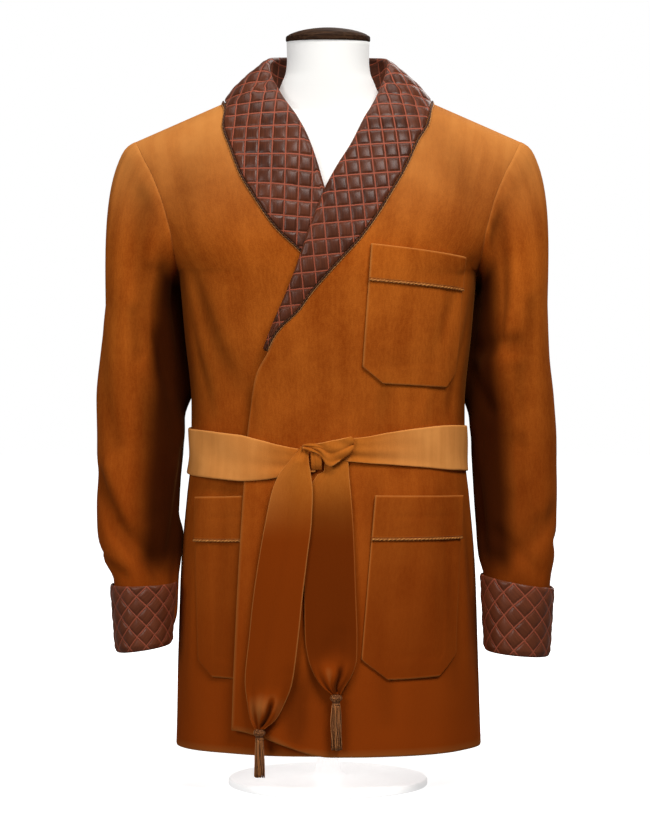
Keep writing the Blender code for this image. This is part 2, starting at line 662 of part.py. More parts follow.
def raised_rows(rows, rise):
    """Rows of a front, lifted near the hem by its corner's rise."""
    heights = BODY_AT["height"](rows)
    share = np.clip(1 - (heights - heights[0]) / HEM_RISE_REACH, 0, 1)
    lifted = heights + rise * share
    return np.interp(lifted, BODY_AT["height"](DENSE_ROWS), DENSE_ROWS)


def make_front(name, lapel, side, sink, rise):
    """One front from its free edge to the side seam and the armhole."""
    rows = np.array(PANEL_ROWS, float)
    heights = BODY_AT["height"](rows)
    inner_angle = angle_at(opening(lapel, side)(heights), rows)
    outer_angle = side * (armhole_angle(rows) - side_gap(rows))
    share = np.linspace(0, 1, FRONT_COLUMNS)
    if side < 0:
        share = share[::-1]
    angles = inner_angle[:, None] + (outer_angle - inner_angle)[:, None] * share
    x = ring_point(angles, rows[:, None])[..., 0]
    if rise:
        lift = HEM_RISE * blend(0, HEM_RISE_WIDTH, HEM_RISE_START - x)
        grid_rows = np.stack([raised_rows(rows, rise_here) for rise_here in lift[0]], axis=1)
    else:
        grid_rows = np.repeat(rows[:, None], FRONT_COLUMNS, axis=1)
    z = BODY_AT["height"](grid_rows)
    depth = under_sink(x, z) if sink else np.zeros_like(x)
    outer, normal = body_point(angles, grid_rows, -depth)
    wall(name, outer, outer - normal * PANEL, VELVET)


def neckline_row(x):
    """The row at which the back panel ends inside the neckline."""
    inside = np.clip(1 - (x / NECK_POINT) ** 2, 0, 1)
    depth = NECK_DEPTH * np.sqrt(inside)
    upper = np.linspace(TOP_ROW, ARMPIT_ROW + 4, DENSE // 3)
    return np.interp(depth, BODY_AT["back"](upper), upper)


def make_back():
    """The back from side seam to side seam, with the back neckline cut into its top."""
    rows = np.array(PANEL_ROWS, float)
    edge = armhole_angle(rows) - side_gap(rows)
    neck = NECK_POINT / BODY[-1].half_width
    neck_turn = math.asin(neck ** (SQUARENESS / 2))
    inner = neck_turn / edge[-1]
    outside = np.linspace(1, inner, BACK_COLUMNS)
    inside = np.linspace(inner, 0, NECK_COLUMNS)[1:]
    half = np.concatenate([outside, inside])
    share = np.concatenate([half, -half[-2::-1]])
    angles = math.pi - edge[:, None] * share
    columns = []
    for j in range(len(share)):
        x = ring_point(angles[-1, j], rows[-1])[..., 0]
        top = neckline_row(x)
        start = ARMPIT_ROW + 2
        scale = (top - start) / (TOP_ROW - start)
        columns.append(np.where(rows > start, start + (rows - start) * scale, rows))
    grid_rows = np.stack(columns, axis=1)
    outer, normal = body_point(angles, grid_rows)
    wall("back", outer, outer - normal * PANEL, VELVET)


def armhole_loop(side, sides):
    """The armhole as a loop of points from the shoulder down the front and up the back."""
    half = sides // 2
    rows = [TOP_ROW - k * (TOP_ROW - ARMPIT_ROW) / half for k in range(half + 1)]
    rows += rows[1:-1][::-1]
    rows = np.array(rows)
    turn = np.arange(sides)
    angle = armhole_angle(rows)
    angle = np.where(turn <= half, angle, math.pi - angle)
    points, normal = body_point(side * angle, rows)
    along = unit(np.roll(points, -1, axis=0) - np.roll(points, 1, axis=0))
    away = unit(np.cross(along, normal)) * -side
    away[0] = unit(np.array([side * SEAM_AWAY[0], 0.0, SEAM_AWAY[1]]))
    away[half] = (0.0, 0.0, 1.0)
    normal[0] = unit(np.array([side * SEAM_FACE[0], 0.0, SEAM_FACE[1]]))
    return points, normal, away


def crease_depth(creases, turn, height):
    """Depth of the sleeve's creases at a turn round it, in degrees, and a height."""
    total = np.zeros(np.broadcast(turn, height).shape)
    for crease in creases:
        start = np.array([math.radians(crease.turn_from) * SLEEVE_RADIUS, crease.from_height])
        end = np.array([math.radians(crease.turn_to) * SLEEVE_RADIUS, crease.to_height])
        wrapped = (turn - crease.turn_from + 180) % 360 - 180 + crease.turn_from
        u = np.radians(wrapped) * SLEEVE_RADIUS
        line = end - start
        t = ((u - start[0]) * line[0] + (height - start[1]) * line[1]) / (line @ line)
        near = np.clip(t, 0, 1)
        away = np.hypot(u - start[0] - near * line[0], height - start[1] - near * line[1])
        total = total + crease.depth * np.exp(-(away / crease.width) ** 2)
    return total


def sleeve_ring(ring, side, turns):
    """One flat ring of a sleeve, squarer than an ellipse."""
    power = 2 / SLEEVE_SQUARENESS
    middle = np.array([(ring["inner"] + ring["outer"]) / 2, (ring["front"] + ring["back"]) / 2])
    half = np.array([(ring["outer"] - ring["inner"]) / 2, (ring["back"] - ring["front"]) / 2])
    cosine, sine = np.cos(turns), np.sin(turns)
    x = middle[0] + half[0] * np.sign(cosine) * np.abs(cosine) ** power
    y = middle[1] - half[1] * np.sign(sine) * np.abs(sine) ** power
    z = np.full_like(x, float(ring["height"]))
    return np.stack([side * x, y, z], axis=-1)


def sleeve_grid(table, creases, side, sides):
    """Outer points of a sleeve from the armhole to the wrist."""
    columns = columns_of(table, "height")
    turns = np.linspace(0, 2 * math.pi, sides, endpoint=False)

    def ring_at(height):
        return sleeve_ring({"height": height, **{k: f(height) for k, f in columns.items()}},
                           side, turns)

    loop, normal, away = armhole_loop(side, sides)
    start = loop + away * SEAM
    top = table[0].height
    first = ring_at(top)
    outside = (1 + np.cos(turns)) / 2
    reach = UNDERARM_REACH + (CAP_REACH - UNDERARM_REACH) * outside ** CAP_SPREAD
    up = np.array([0.0, 0.0, 1.0])
    lean = np.array([side * UNDERARM_OUT, 0.0, UNDERARM_UP]) * UNDERARM_PULL
    leave = unit(away * outside[:, None] + lean * (1 - outside)[:, None])
    grid = []
    for t in CAP_STEPS:
        point = start * ((1 + 2 * t) * (1 - t) ** 2) + first * (t * t * (3 - 2 * t))
        point = point + leave * (reach * t * (1 - t) ** 2)[:, None]
        point = point + up * (reach * CAP_FALL * t * t * (1 - t))[:, None]
        grid.append(point)
    heights = [top]
    for above, below in zip(table[:-1], table[1:]):
        count = 2 if above.height - below.height > RING_SPACING else 1
        step = (above.height - below.height) / count
        heights += [above.height - step * (k + 1) for k in range(count)]
    grid += [ring_at(height) for height in heights]
    grid = np.array(grid)
    out = grid_normals(grid, around=True) * side
    depth = crease_depth(creases, np.degrees(turns)[None, :], grid[..., 2])
    fade = np.ones(len(grid))
    fade[:2] = CREASE_FADE_IN
    fade[-3:] = CREASE_FADE_OUT
    grid = grid - out * (depth * fade[:, None])[..., None]
    out = grid_normals(grid, around=True) * side
    top_share = outside ** CAP_SPREAD
    out[0] = unit(normal * top_share[:, None] - away * (1 - top_share)[:, None])
    return grid, out


def make_sleeve(name, table, creases, side):
    outer, out = sleeve_grid(table, creases, side, SLEEVE_SIDES)
    wall(name, outer, outer - out * PANEL, VELVET, around=True)


def make_cuff(name, cuff, side):
    """A quilted cuff, turned back over the sleeve's end and in under it."""
    turns = np.linspace(0, 2 * math.pi, CUFF_SIDES, endpoint=False)
    inward = np.cos(turns) * 0.5 + 0.5
    top = cuff.top_inner + (cuff.top_outer - cuff.top_inner) * inward
    low = cuff.low_inner + (cuff.low_outer - cuff.low_inner) * inward

    def ring(shrink, share, lower=0.0):
        shape = {"inner": cuff.inner + shrink, "outer": cuff.outer - shrink,
                 "front": cuff.front + shrink, "back": cuff.back - shrink, "height": 0.0}
        points = sleeve_ring(shape, side, turns)
        points[:, 2] = top + (low - top) * share - lower
        return points

    edge = QUILT + CUFF_ROOM + PANEL / 2
    rows, raised = [], []
    for i in range(CUFF_STEPS + 1):
        share = i / CUFF_STEPS
        rows.append(ring(cuff.taper * share, share))
        odd = (i + np.arange(CUFF_SIDES)) % 2
        raised.append(odd * RELIEF * (0.0 if i in (0, CUFF_STEPS) else 1.0))
    rows.append(ring(cuff.taper + edge * 0.5, 1.0, edge * CUFF_DROP))
    rows.append(ring(cuff.taper + edge * 1.5, 1.0, edge * CUFF_DROP))
    rows.append(ring(cuff.taper + edge * 2, 1.0))
    rows.append(ring(cuff.taper + edge * 2, 1.0 - CUFF_TURN / (cuff.top_outer - cuff.low_outer)))
    raised += [np.zeros(CUFF_SIDES)] * 4
    plain = np.array(rows)
    out = grid_normals(plain, around=True) * side
    outer = plain + out * np.array(raised)[..., None]
    wall(name, outer, plain - out * QUILT, SATIN, around=True)


def collar_stations(lapel, side, sink):
    """Roll line, outer edge, stand foot, facing and cling of every station, in table order."""
    rolls, edges, feet, facing, cling = [], [], [], [], []
    lift = QUILT + COLLAR_ROOM[sink]
    for s in NECK_STATIONS:
        row = np.interp(s.edge_height, BODY_AT["height"](DENSE_ROWS), DENSE_ROWS)
        angle = angle_at(s.edge_x, row)
        if s.edge_face > 0:
            angle = math.pi - angle
        rolls.append((s.roll_x, s.roll_y, s.roll_z))
        edges.append(body_point(angle, row, lift)[0])
        feet.append((s.foot_x, s.foot_y, s.foot_z))
        facing.append((0, 0, 0))
        cling.append(0.0)
    for s in lapel:
        depth_roll = under_sink(-s.roll_x, s.roll_z) if sink else 0.0
        depth_edge = under_sink(-s.edge_x, s.edge_z) if sink else 0.0
        roll, normal = front_point(s.roll_x, s.roll_z, -PANEL / 2 - depth_roll)
        rolls.append(roll)
        edges.append(front_point(s.edge_x, s.edge_z, lift - depth_edge)[0])
        feet.append(roll - normal * FOOT_DEPTH)
        facing.append(normal)
        cling.append(1.0)
    mirror = np.array([side, 1, 1])
    return [np.array(v, float) * mirror for v in (rolls, edges, feet, facing)] + [cling]


def resample(stations, positions):
    """Smooth values of the stations' columns at positions along them."""
    index = np.arange(len(stations))
    flat = np.asarray(stations, float).reshape(len(stations), -1)
    columns = [smooth_curve(index, flat[:, k])(positions) for k in range(flat.shape[1])]
    return np.stack(columns, axis=-1).reshape((len(positions),) + np.shape(stations)[1:])


def shoulder_face(x, y):
    """The height of the shoulders' outer face and its outward direction."""
    top = body_top(x, y, DENSE_UPPER_ROWS)
    slope_x = (body_top(x + SLOPE_STEP, y, DENSE_UPPER_ROWS) - top) / SLOPE_STEP
    slope_y = (body_top(x, y + SLOPE_STEP, DENSE_UPPER_ROWS) - top) / SLOPE_STEP
    return top, unit(np.stack([-slope_x, -slope_y, np.ones_like(top)], axis=-1))


def height_over_body(x, y, lift):
    """The height of a point that lies off the shoulders' outer face by lift."""
    top, facing = shoulder_face(x, y)
    return top + lift * np.minimum(1 / facing[..., 2], STEEPEST)


def lay_on_body(points, hold, lift, sink, off_limit):
    """Points set down on the body: on the front where held, else no lower than the shoulders."""
    laid = points.copy()
    over = height_over_body(points[:, 0], points[:, 1], lift)
    near = np.abs(points[:, 2] - over) < off_limit
    laid[:, 2] = np.where(near, np.maximum(points[:, 2], over), points[:, 2])
    for i in np.nonzero(hold[:, 0] > 0)[0]:
        x, z = points[i, 0], points[i, 2]
        depth = under_sink(x, z) if sink else 0.0
        on_front = front_point(x, z, lift - depth)[0]
        laid[i] = laid[i] * (1 - hold[i]) + on_front * hold[i]
    return laid


def collar_frame(lapel, side, sink):
    """Evenly spaced stations along the roll, with their directions and cling."""
    rolls, edges, feet, facing, cling = collar_stations(lapel, side, sink)
    fine = np.linspace(0, len(rolls) - 1, DENSE)
    path = resample(rolls, fine)
    steps = np.linalg.norm(np.diff(path, axis=0), axis=1)
    edge_steps = np.linalg.norm(np.diff(resample(edges, fine), axis=0), axis=1)
    length = np.concatenate([[0], np.cumsum(np.maximum(steps, EDGE_SHARE * edge_steps))])
    count = int(length[-1] / COLLAR_STEP) + 1
    at = np.interp(np.linspace(0, length[-1], count), length, fine)
    roll, edge, foot, normal = [resample(v, at) for v in (rolls, edges, feet, facing)]
    hold = np.interp(at, np.arange(len(cling)), cling)[:, None]
    for i in np.nonzero(hold[:, 0] > 0)[0]:
        x, z = roll[i, 0], roll[i, 2]
        depth = under_sink(x, z) if sink else 0.0
        on_front, facing_front = front_point(x, z, -PANEL / 2 - depth)
        roll[i] = roll[i] * (1 - hold[i]) + on_front * hold[i]
        normal[i] = facing_front
    along = unit(np.gradient(roll, axis=0))
    along[0] = (side, 0, 0)
    out = unit(np.cross(along, unit(edge - roll))) * side
    out = out * (1 - hold) + normal * hold
    out = unit(out - along * np.sum(out * along, axis=1, keepdims=True))
    across = unit(np.cross(out, along)) * side
    return roll, edge, foot, out, across, hold


def collar_grid(lapel, side, sink):
    """Points of a collar half: outer edge, fall, roll and stand, at every station."""
    roll, edge, foot, out, across, hold = collar_frame(lapel, side, sink)
    count = len(roll)
    lift = QUILT + COLLAR_ROOM[sink]
    radius = PANEL / 2 + lift
    start = roll + out * radius
    rows, raised = [], []
    width = np.linalg.norm(edge - start, axis=1)
    chord = edge - start
    for j in range(COLLAR_COLUMNS, -1, -1):
        limit = width - (COLLAR_COLUMNS - j) * COLLAR_SLIVER
        reach = width if j == COLLAR_COLUMNS else np.minimum(j * COLLAR_STEP, limit)
        part = (reach / width)[:, None]
        bulge = FALL_BULGE * (4 * part * (1 - part)) * (1 - hold)
        point = start + chord * part + out * bulge
        if j > 0:
            point = lay_on_body(point, hold, lift, sink, NEAR_BODY)
        open_cell = (reach < limit - CELL_SHARE * COLLAR_STEP) & (0 < j < COLLAR_COLUMNS)
        odd = (np.arange(count) + j) % 2
        rows.append(point)
        raised.append(odd * open_cell * RELIEF)
    back = radius + TURN_ROOM * hold
    for turn in ROLL_TURNS:
        angle = math.radians(turn)
        depth = radius if turn < 90 else back
        rows.append(roll + out * depth * math.cos(angle) - across * radius * math.sin(angle))
        raised.append(np.zeros(count))
    inside = roll - out * back
    turned = inside + across * COLLAR_LAPEL_TURN
    rows.append(inside)
    rows.append(foot * (1 - hold) + turned * hold)
    raised += [np.zeros(count)] * 2
    return np.array(rows), np.array(raised)


def make_collar(name, lapel, side, sink):
    plain, raised = collar_grid(lapel, side, sink)
    plain[:, 0, 0] = side * CENTRE_BACK
    out = grid_normals(plain) * -side
    outer = plain + out * raised[..., None]
    inner = plain - out * QUILT
    outer[:, 0, 0] = side * CENTRE_BACK
    inner[:, 0, 0] = side * CENTRE_BACK
    wall(name, outer, inner, SATIN)


def make_collar_piping(name, lapel, side, sink):
    """A cord on the body along the collar's outer edge."""
    roll, edge, _, _, _, hold = collar_frame(lapel, side, sink)
    along = unit(np.gradient(edge, axis=0))
    away = edge - roll
    shoulders = hold[:, 0] < 1
    facing = np.zeros_like(edge)
    facing[shoulders] = shoulder_face(edge[shoulders, 0], edge[shoulders, 1])[1]
    away = away - facing * np.sum(away * facing, axis=1, keepdims=True)
    away = unit(away - along * np.sum(away * along, axis=1, keepdims=True))
    route = edge + away * (CORD_RADIUS + PIPING_SEAM)
    lift = CORD_RADIUS + PIPING_ROOM
    route[shoulders, 2] = height_over_body(route[shoulders, 0], route[shoulders, 1], lift)
    route = lay_on_body(route, hold, lift, sink, 0.0)
    route[0, 0] = side * CENTRE_BACK
    tube(name, route, CORD_RADIUS, CORD)


def make_pocket(pocket):
    """A patch pocket, its turned-over band and the cord along the band's lower edge."""
    corners = {k: np.array(getattr(pocket, k))
               for k in ("left_top", "right_top", "left_low", "right_low")}
    height = np.linalg.norm(corners["left_top"] - corners["left_low"])
    width = np.linalg.norm(corners["right_top"] - corners["left_top"])
    down = np.linspace(0, 1, POCKET_ROWS)
    across = np.linspace(0, 1, POCKET_COLUMNS)

    def on_body(u, v, lift):
        """Points of the pocket's sheet: u runs across it and v down it."""
        left = corners["left_top"] + (corners["left_low"] - corners["left_top"]) * v[..., None]
        right = corners["right_top"] + (corners["right_low"] - corners["right_top"]) * v[..., None]
        left_angle = angle_at(left[..., 0], row_at(left[..., 0], left[..., 1]))
        right_angle = angle_at(right[..., 0], row_at(right[..., 0], right[..., 1]))
        angle = left_angle + (right_angle - left_angle) * u
        z = left[..., 1] + (right[..., 1] - left[..., 1]) * u
        guess = np.interp(z, BODY_AT["height"](DENSE_ROWS), DENSE_ROWS)
        x = ring_point(angle, guess)[..., 0]
        sink = under_sink(x, z) if pocket.front == "under" else 0.0
        return body_point(angle, row_at(x, z), lift - sink)

    def sheet(name, u, v, lift):
        outer, normal = on_body(u, v, lift + PANEL)
        wall(name, outer, outer - normal * PANEL, VELVET)

    v, u = np.meshgrid(down[::-1], across, indexing="ij")
    cut = pocket.chamfer / height
    share = np.clip((v - (1 - cut)) / cut, 0, 1) * pocket.chamfer / width
    lift = POCKET_LIFT[pocket.front]
    sheet(pocket.name, share + u * (1 - 2 * share), v, lift)
    band = pocket.band / height
    v, u = np.meshgrid(np.linspace(band, 0.0, 3), across, indexing="ij")
    sheet(pocket.name + "_band", u, v, lift + PANEL + SEAM)
    u = np.linspace(0, 1, POCKET_COLUMNS + 2)
    v = np.full(POCKET_COLUMNS + 2, band + (CORD_RADIUS + SEAM) / height)
    route, _ = on_body(u, v, lift + PANEL + SEAM + CORD_RADIUS)
    tube(pocket.name + "_piping", route, CORD_RADIUS, CORD)


def make_belt():
    columns = columns_of(BELT, "angle")
    angles = np.linspace(BELT[-1].angle, BELT[0].angle, BELT_COLUMNS)
    rows = []
    for share in BELT_ROWS:
        height = columns["middle"](angles) + columns["width"](angles) * share
        rows.append(np.interp(height, BODY_AT["height"](DENSE_ROWS), DENSE_ROWS))
    outer, normal = body_point(np.radians(angles)[None, :], np.array(rows), BELT_LIFT + BAND)
    wall("belt", outer, outer - normal * BAND, BELT_VELVET)


def strip(name, middle):
    """A closed strip of belt cloth about a grid of middle points."""
    half = grid_normals(middle) * BAND / 2
    wall(name, middle + half, middle - half, BELT_VELVET)


def make_knot():
    """The knot's folded wing and the wrap below it."""
    share = np.linspace(0, 1, WING_ROWS)[:, None]
    low, high, x, off = [np.array([getattr(w, key) for w in KNOT_WING])
                         for key in ("low", "high", "x", "off")]
    puff = WING_PUFF * np.sin(math.pi * share)
    turned = np.arange(len(x)) > np.argmax(x)
    z = low + (high - low) * share
    x = np.broadcast_to(x, z.shape)
    strip("knot_wing", front_point(x, z, off + np.where(turned, 0, puff))[0])
    path = np.array(KNOT_WRAP)[::-1]
    x, z = np.meshgrid(np.linspace(WRAP_LEFT, WRAP_RIGHT, WRAP_COLUMNS), path[:, 0])
    off = path[:, 1][:, None] * np.ones(WRAP_COLUMNS)
    strip("knot_wrap", front_point(x, z, off)[0])


def make_tail(name, table):
    """One hanging belt end, gathered at its foot."""
    columns = columns_of(table, "height")
    share = np.linspace(0, 1, TAIL_STEPS + 1)
    keys = np.linspace(0, 1, len(table))
    heights = smooth_curve(keys, [entry.height for entry in table[::-1]])(share)
    across = np.linspace(0, 1, TAIL_COLUMNS + 1)
    z, u = np.meshgrid(heights, across, indexing="ij")
    left, right = columns["left"](z), columns["right"](z)
    x = left + (right - left) * u
    side = np.where(u < 0.5, columns["off_left"](z), columns["off_right"](z))
    middle = columns["off_middle"](z)
    off = side + (middle - side) * np.sin(math.pi * u)
    bottom = table[-1].height
    pleats = np.cos(u * 2 * math.pi * PLEATS) * np.exp(-((z - bottom) / PLEAT_REACH) ** 2)
    off = off + PLEAT_DEPTH * pleats
    outer, normal = front_point(x, z, off + BAND)
    wall(name, outer, outer - normal * BAND, BELT_VELVET)


def make_tassel(name, tail, length):
    """A bound head below a tail's foot and the strands that hang from it."""
    foot = tail[-1]
    across = (foot.left + foot.right) / 2
    (x, y, z), _ = front_point(across, foot.height, foot.off_middle + BAND / 2)
    top = z - SEAM
    neck = top - TASSEL_HEAD_HEIGHT
    profile = TASSEL_PROFILE + tuple((share, TASSEL_HEAD_HEIGHT) for share in TASSEL_ROOTS)
    turns = np.linspace(0, 2 * math.pi, TASSEL_SIDES, endpoint=False)
    shape = bmesh.new()
    rings = []
    for share, drop in profile:
        radius = TASSEL_HEAD_RADIUS * share
        around = [(x + radius * math.cos(t), y + radius * math.sin(t)) for t in turns]
        rings.append([shape.verts.new((a, b, top - drop)) for a, b in around])
    roots = []
    for i in range(len(rings) - 1):
        for j in range(TASSEL_SIDES):
            k = (j + 1) % TASSEL_SIDES
            face = shape.faces.new((rings[i][k], rings[i][j], rings[i + 1][j], rings[i + 1][k]))
            if i >= len(TASSEL_PROFILE) - 1:
                roots.append(face)
    shape.faces.new(rings[0])
    roots.append(shape.faces.new(rings[-1][::-1]))
    shape.normal_update()
    for index, root in enumerate(roots):
        bmesh.ops.inset_individual(shape, faces=[root], thickness=STRAND_INSET)
        strand = root
        for step in (STRAND_FLARE_AT, 1.0):
            moved = bmesh.ops.extrude_face_region(shape, geom=[strand])["geom"]
            new = [g for g in moved if isinstance(g, bmesh.types.BMFace)][0]
            shape.faces.remove(strand)
            shorter = STRAND_UNEVEN * ((index * 7) % 5) / 4 if step == 1 else 0
            low = neck - (length - TASSEL_HEAD_HEIGHT) * (step - shorter)
            flare = STRAND_FLARE if step < 1 else 1.0
            for vert in new.verts:
                vert.co.z = low
                vert.co.x = x + (vert.co.x - x) * flare
                vert.co.y = y + (vert.co.y - y) * flare
            strand = new
    bmesh.ops.recalc_face_normals(shape, faces=shape.faces)
    bmesh.ops.triangulate(shape, faces=shape.faces)
    mesh = bpy.data.meshes.new(name)
    shape.to_mesh(mesh)
    shape.free()
    mesh.materials.append(material(TASSEL))
    made = bpy.data.objects.new(name, mesh)
    bpy.context.collection.objects.link(made)


def body_top(x, y, rows=UPPER_ROWS):
    """The height of the jacket's outer face above points between the shoulders."""
    heights = BODY_AT["height"](rows)
    found = []
    for a, b in zip(np.ravel(x), np.ravel(y)):
        depth = BODY_AT["back"](rows) if b > 0 else BODY_AT["front"](rows)
        part = np.clip(np.abs(a) / BODY_AT["half_width"](rows), 0, 1)
        reach = depth * (1 - part ** SQUARENESS) ** (1 / SQUARENESS)
        found.append(np.interp(-abs(b), -reach, heights - shoulder_slope(a, heights)))
    return np.array(found).reshape(np.shape(x))


def form_loops():
    """Rings of the torso from its foot, over the shoulders, to the top of the neck."""
    turns = np.linspace(-math.pi, math.pi, FORM_SIDES, endpoint=False)
    front = blend(*FORM_FRONT_BLEND, np.cos(turns))
    plain = FORM_BACK_INSET + (FORM_FRONT_INSET - FORM_BACK_INSET) * front
    loops = []
    for row in FORM_ROWS:
        at = np.full(FORM_SIDES, float(row))
        thin = blend(FORM_THIN_FROM, FORM_THIN_TO, row)
        inset = plain * (1 - thin) + FORM_SHOULDER_INSET * thin
        near_neck = 1 - blend(FORM_NECK_FROM, FORM_NECK_TO, np.abs(ring_point(turns, at)[:, 0]))
        inset = inset + FORM_NECK_INSET * near_neck * thin
        points = ring_point(turns, at) - ring_normal(turns, at) * inset[:, None]
        soft = FORM_ARM_CUT - FORM_ARM_ROUND
        wide = np.abs(points[:, 0])
        held = FORM_ARM_CUT - FORM_ARM_ROUND * np.exp(-(wide - soft) / FORM_ARM_ROUND)
        points[:, 0] = np.sign(points[:, 0]) * np.where(wide > soft, held, wide)
        loops.append(points)
    power = 2 / SQUARENESS
    for half_width, half_depth, middle in SHOULDER_LOOPS:
        x = half_width * np.sign(np.sin(turns)) * np.abs(np.sin(turns)) ** power
        y = middle - half_depth * np.sign(np.cos(turns)) * np.abs(np.cos(turns)) ** power
        near_neck = 1 - blend(FORM_NECK_FROM, FORM_NECK_TO, np.abs(x))
        inset = FORM_TOP_INSET + FORM_TOP_ROUND * (y / half_depth) ** 2
        z = body_top(x, y) - inset - FORM_NECK_INSET * near_neck
        loops.append(np.stack([x, y, z], axis=-1))
    for half_width, half_depth, height in NECK_LOOPS:
        x = half_width * np.sin(turns)
        y = NECK_MIDDLE - half_depth * np.cos(turns)
        loops.append(np.stack([x, y, np.full_like(x, height)], axis=-1))
    foot = loops[0] * np.array([1, 1, 0]) + np.array([0, 0, FORM_BOTTOM])
    foot = foot * np.array([FORM_FOOT_SHARE, FORM_FOOT_SHARE, 1])
    return [foot] + loops


def make_form():
    """The limbless torso with its neck, the neck cap, and the pole on its round base."""
    loops = np.array(form_loops())
    faces = grid_faces(len(loops), FORM_SIDES, 0, around=True)
    last = (len(loops) - 1) * FORM_SIDES
    faces += [list(range(FORM_SIDES))[::-1], [last + j for j in range(FORM_SIDES)]]
    add_object("form_torso", loops.reshape(-1, 3), faces, JERSEY)
    revolve("form_cap", [(radius, NECK_TOP + SEAM + rise) for radius, rise in CAP_PROFILE],
            CAP_SIDES, CAP_WOOD, middle=(0, NECK_MIDDLE))
    revolve("form_stand", STAND_PROFILE, STAND_SIDES, STAND_PAINT)


def main():
    clear_scene()
    make_back()
    make_front("front_over", LAPEL_OVER, 1, sink=False, rise=True)
    make_front("front_under", LAPEL_UNDER, -1, sink=True, rise=False)
    make_sleeve("sleeve_over", SLEEVE_OVER, CREASES_OVER, 1)
    make_sleeve("sleeve_under", SLEEVE_UNDER, CREASES_UNDER, -1)
    make_cuff("cuff_over", CUFF_OVER, 1)
    make_cuff("cuff_under", CUFF_UNDER, -1)
    make_collar("collar_over", LAPEL_OVER, 1, sink=False)
    make_collar("collar_under", LAPEL_UNDER, -1, sink=True)
    make_collar_piping("collar_piping_over", LAPEL_OVER, 1, sink=False)
    make_collar_piping("collar_piping_under", LAPEL_UNDER, -1, sink=True)
    for pocket in POCKETS:
        make_pocket(pocket)
    make_belt()
    make_knot()
    make_tail("tail_front", TAIL_FRONT)
    make_tail("tail_rear", TAIL_REAR)
    make_tassel("tassel_front", TAIL_FRONT, TASSEL_FRONT_LENGTH)
    make_tassel("tassel_rear", TAIL_REAR, TASSEL_REAR_LENGTH)
    make_form()


main()
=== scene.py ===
"""Smoking jacket with a quilted shawl collar, tied with its belt, on a limbless dress form.

The front faces -Y, +X is to the viewer's right and +Z is up, and all sizes are in metres, as
in the CAD model. Every cloth piece is laid out from the same surface as its solid, at a finer
pitch, with its folds, quilting and gathers. Run it as a script; the sidebar's Jacket tab then
lists each piece.
"""

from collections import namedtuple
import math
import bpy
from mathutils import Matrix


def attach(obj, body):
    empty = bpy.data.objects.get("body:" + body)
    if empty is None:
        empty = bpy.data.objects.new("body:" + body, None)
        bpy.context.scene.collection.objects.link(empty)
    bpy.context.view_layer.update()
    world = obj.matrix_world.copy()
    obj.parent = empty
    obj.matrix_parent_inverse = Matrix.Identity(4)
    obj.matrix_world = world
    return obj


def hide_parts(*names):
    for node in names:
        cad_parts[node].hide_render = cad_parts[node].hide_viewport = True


bl_info = {
    "name": "Smoking jacket",
    "version": (1, 0, 0),
    "blender": (4, 5, 0),
    "location": "3D View > Sidebar > Jacket",
    "description": "Builds a smoking jacket with its belt and tassels on a dress form",
    "category": "Object",
}

import bpy
from mathutils import Vector
import numpy as np

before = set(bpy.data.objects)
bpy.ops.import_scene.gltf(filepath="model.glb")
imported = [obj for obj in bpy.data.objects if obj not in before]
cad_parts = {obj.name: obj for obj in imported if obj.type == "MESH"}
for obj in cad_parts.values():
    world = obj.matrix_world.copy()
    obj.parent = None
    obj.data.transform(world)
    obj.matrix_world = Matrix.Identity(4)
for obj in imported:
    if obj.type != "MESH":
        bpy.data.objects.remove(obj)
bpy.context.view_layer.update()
BODY_OF_ALL = "root"

# Cloth, seams and trim
PANEL = 0.0018
QUILT = 0.0022
BAND = 0.0024
SEAM = 0.00006
CORD_RADIUS = 0.0013

# The body's rings, from the hem to the shoulder seam; armhole is the part of the ring's
# depth at which the panel ends for the sleeve
Section = namedtuple("Section", "height half_width front back armhole")
BODY = (
    Section(0.052, 0.1920, 0.1340, 0.1330, 0.00),
    Section(0.155, 0.1880, 0.1300, 0.1300, 0.00),
    Section(0.270, 0.1840, 0.1240, 0.1260, 0.00),
    Section(0.360, 0.1765, 0.1150, 0.1160, 0.00),
    Section(0.420, 0.1705, 0.1080, 0.1070, 0.00),
    Section(0.480, 0.1705, 0.1090, 0.1070, 0.00),
    Section(0.560, 0.1780, 0.1180, 0.1140, 0.00),
    Section(0.640, 0.1860, 0.1240, 0.1210, 0.00),
    Section(0.649, 0.1908, 0.1240, 0.1215, 0.24),
    Section(0.674, 0.2050, 0.1230, 0.1215, 0.43),
    Section(0.712, 0.2220, 0.1180, 0.1200, 0.53),
    Section(0.757, 0.2366, 0.1060, 0.1140, 0.555),
    Section(0.802, 0.2470, 0.0880, 0.1000, 0.53),
    Section(0.840, 0.2540, 0.0650, 0.0790, 0.48),
    Section(0.865, 0.2560, 0.0360, 0.0480, 0.43),
    Section(0.874, 0.2560, 0.0004, 0.0004, 0.40),
)
ARMPIT_ROW = 7
TOP_ROW = len(BODY) - 1
PANEL_ROWS = (0, 0.8, 1.5, 2.2, 2.9, 3.5, 4, 4.5, 5, 5.6, 6.3, 7, 8, 9, 10, 11, 12, 13, 14, 15)
SQUARENESS = 2.2
# Steps over which the surface's slopes are measured
SMALL_TURN = 0.004
SMALL_CLIMB = 0.02
NECK_POINT = 0.080
SHOULDER_POINT = 0.240
SHOULDER_DROP = 0.070
NECK_DEPTH = 0.053

# Free edge of each front below its lapel; x grows toward the front's own sleeve, so below 0
# the edge lies past the jacket's middle
Edge = namedtuple("Edge", "height x")
FRONT_EDGE = (
    Edge(0.052, -0.1200), Edge(0.170, -0.1150), Edge(0.246, -0.1115), Edge(0.309, -0.1080),
    Edge(0.387, -0.1030), Edge(0.463, -0.0970), Edge(0.515, -0.0885),
)
NECK_EDGE = (Edge(0.863, 0.0740), Edge(0.868, 0.0800), Edge(0.874, 0.0850))
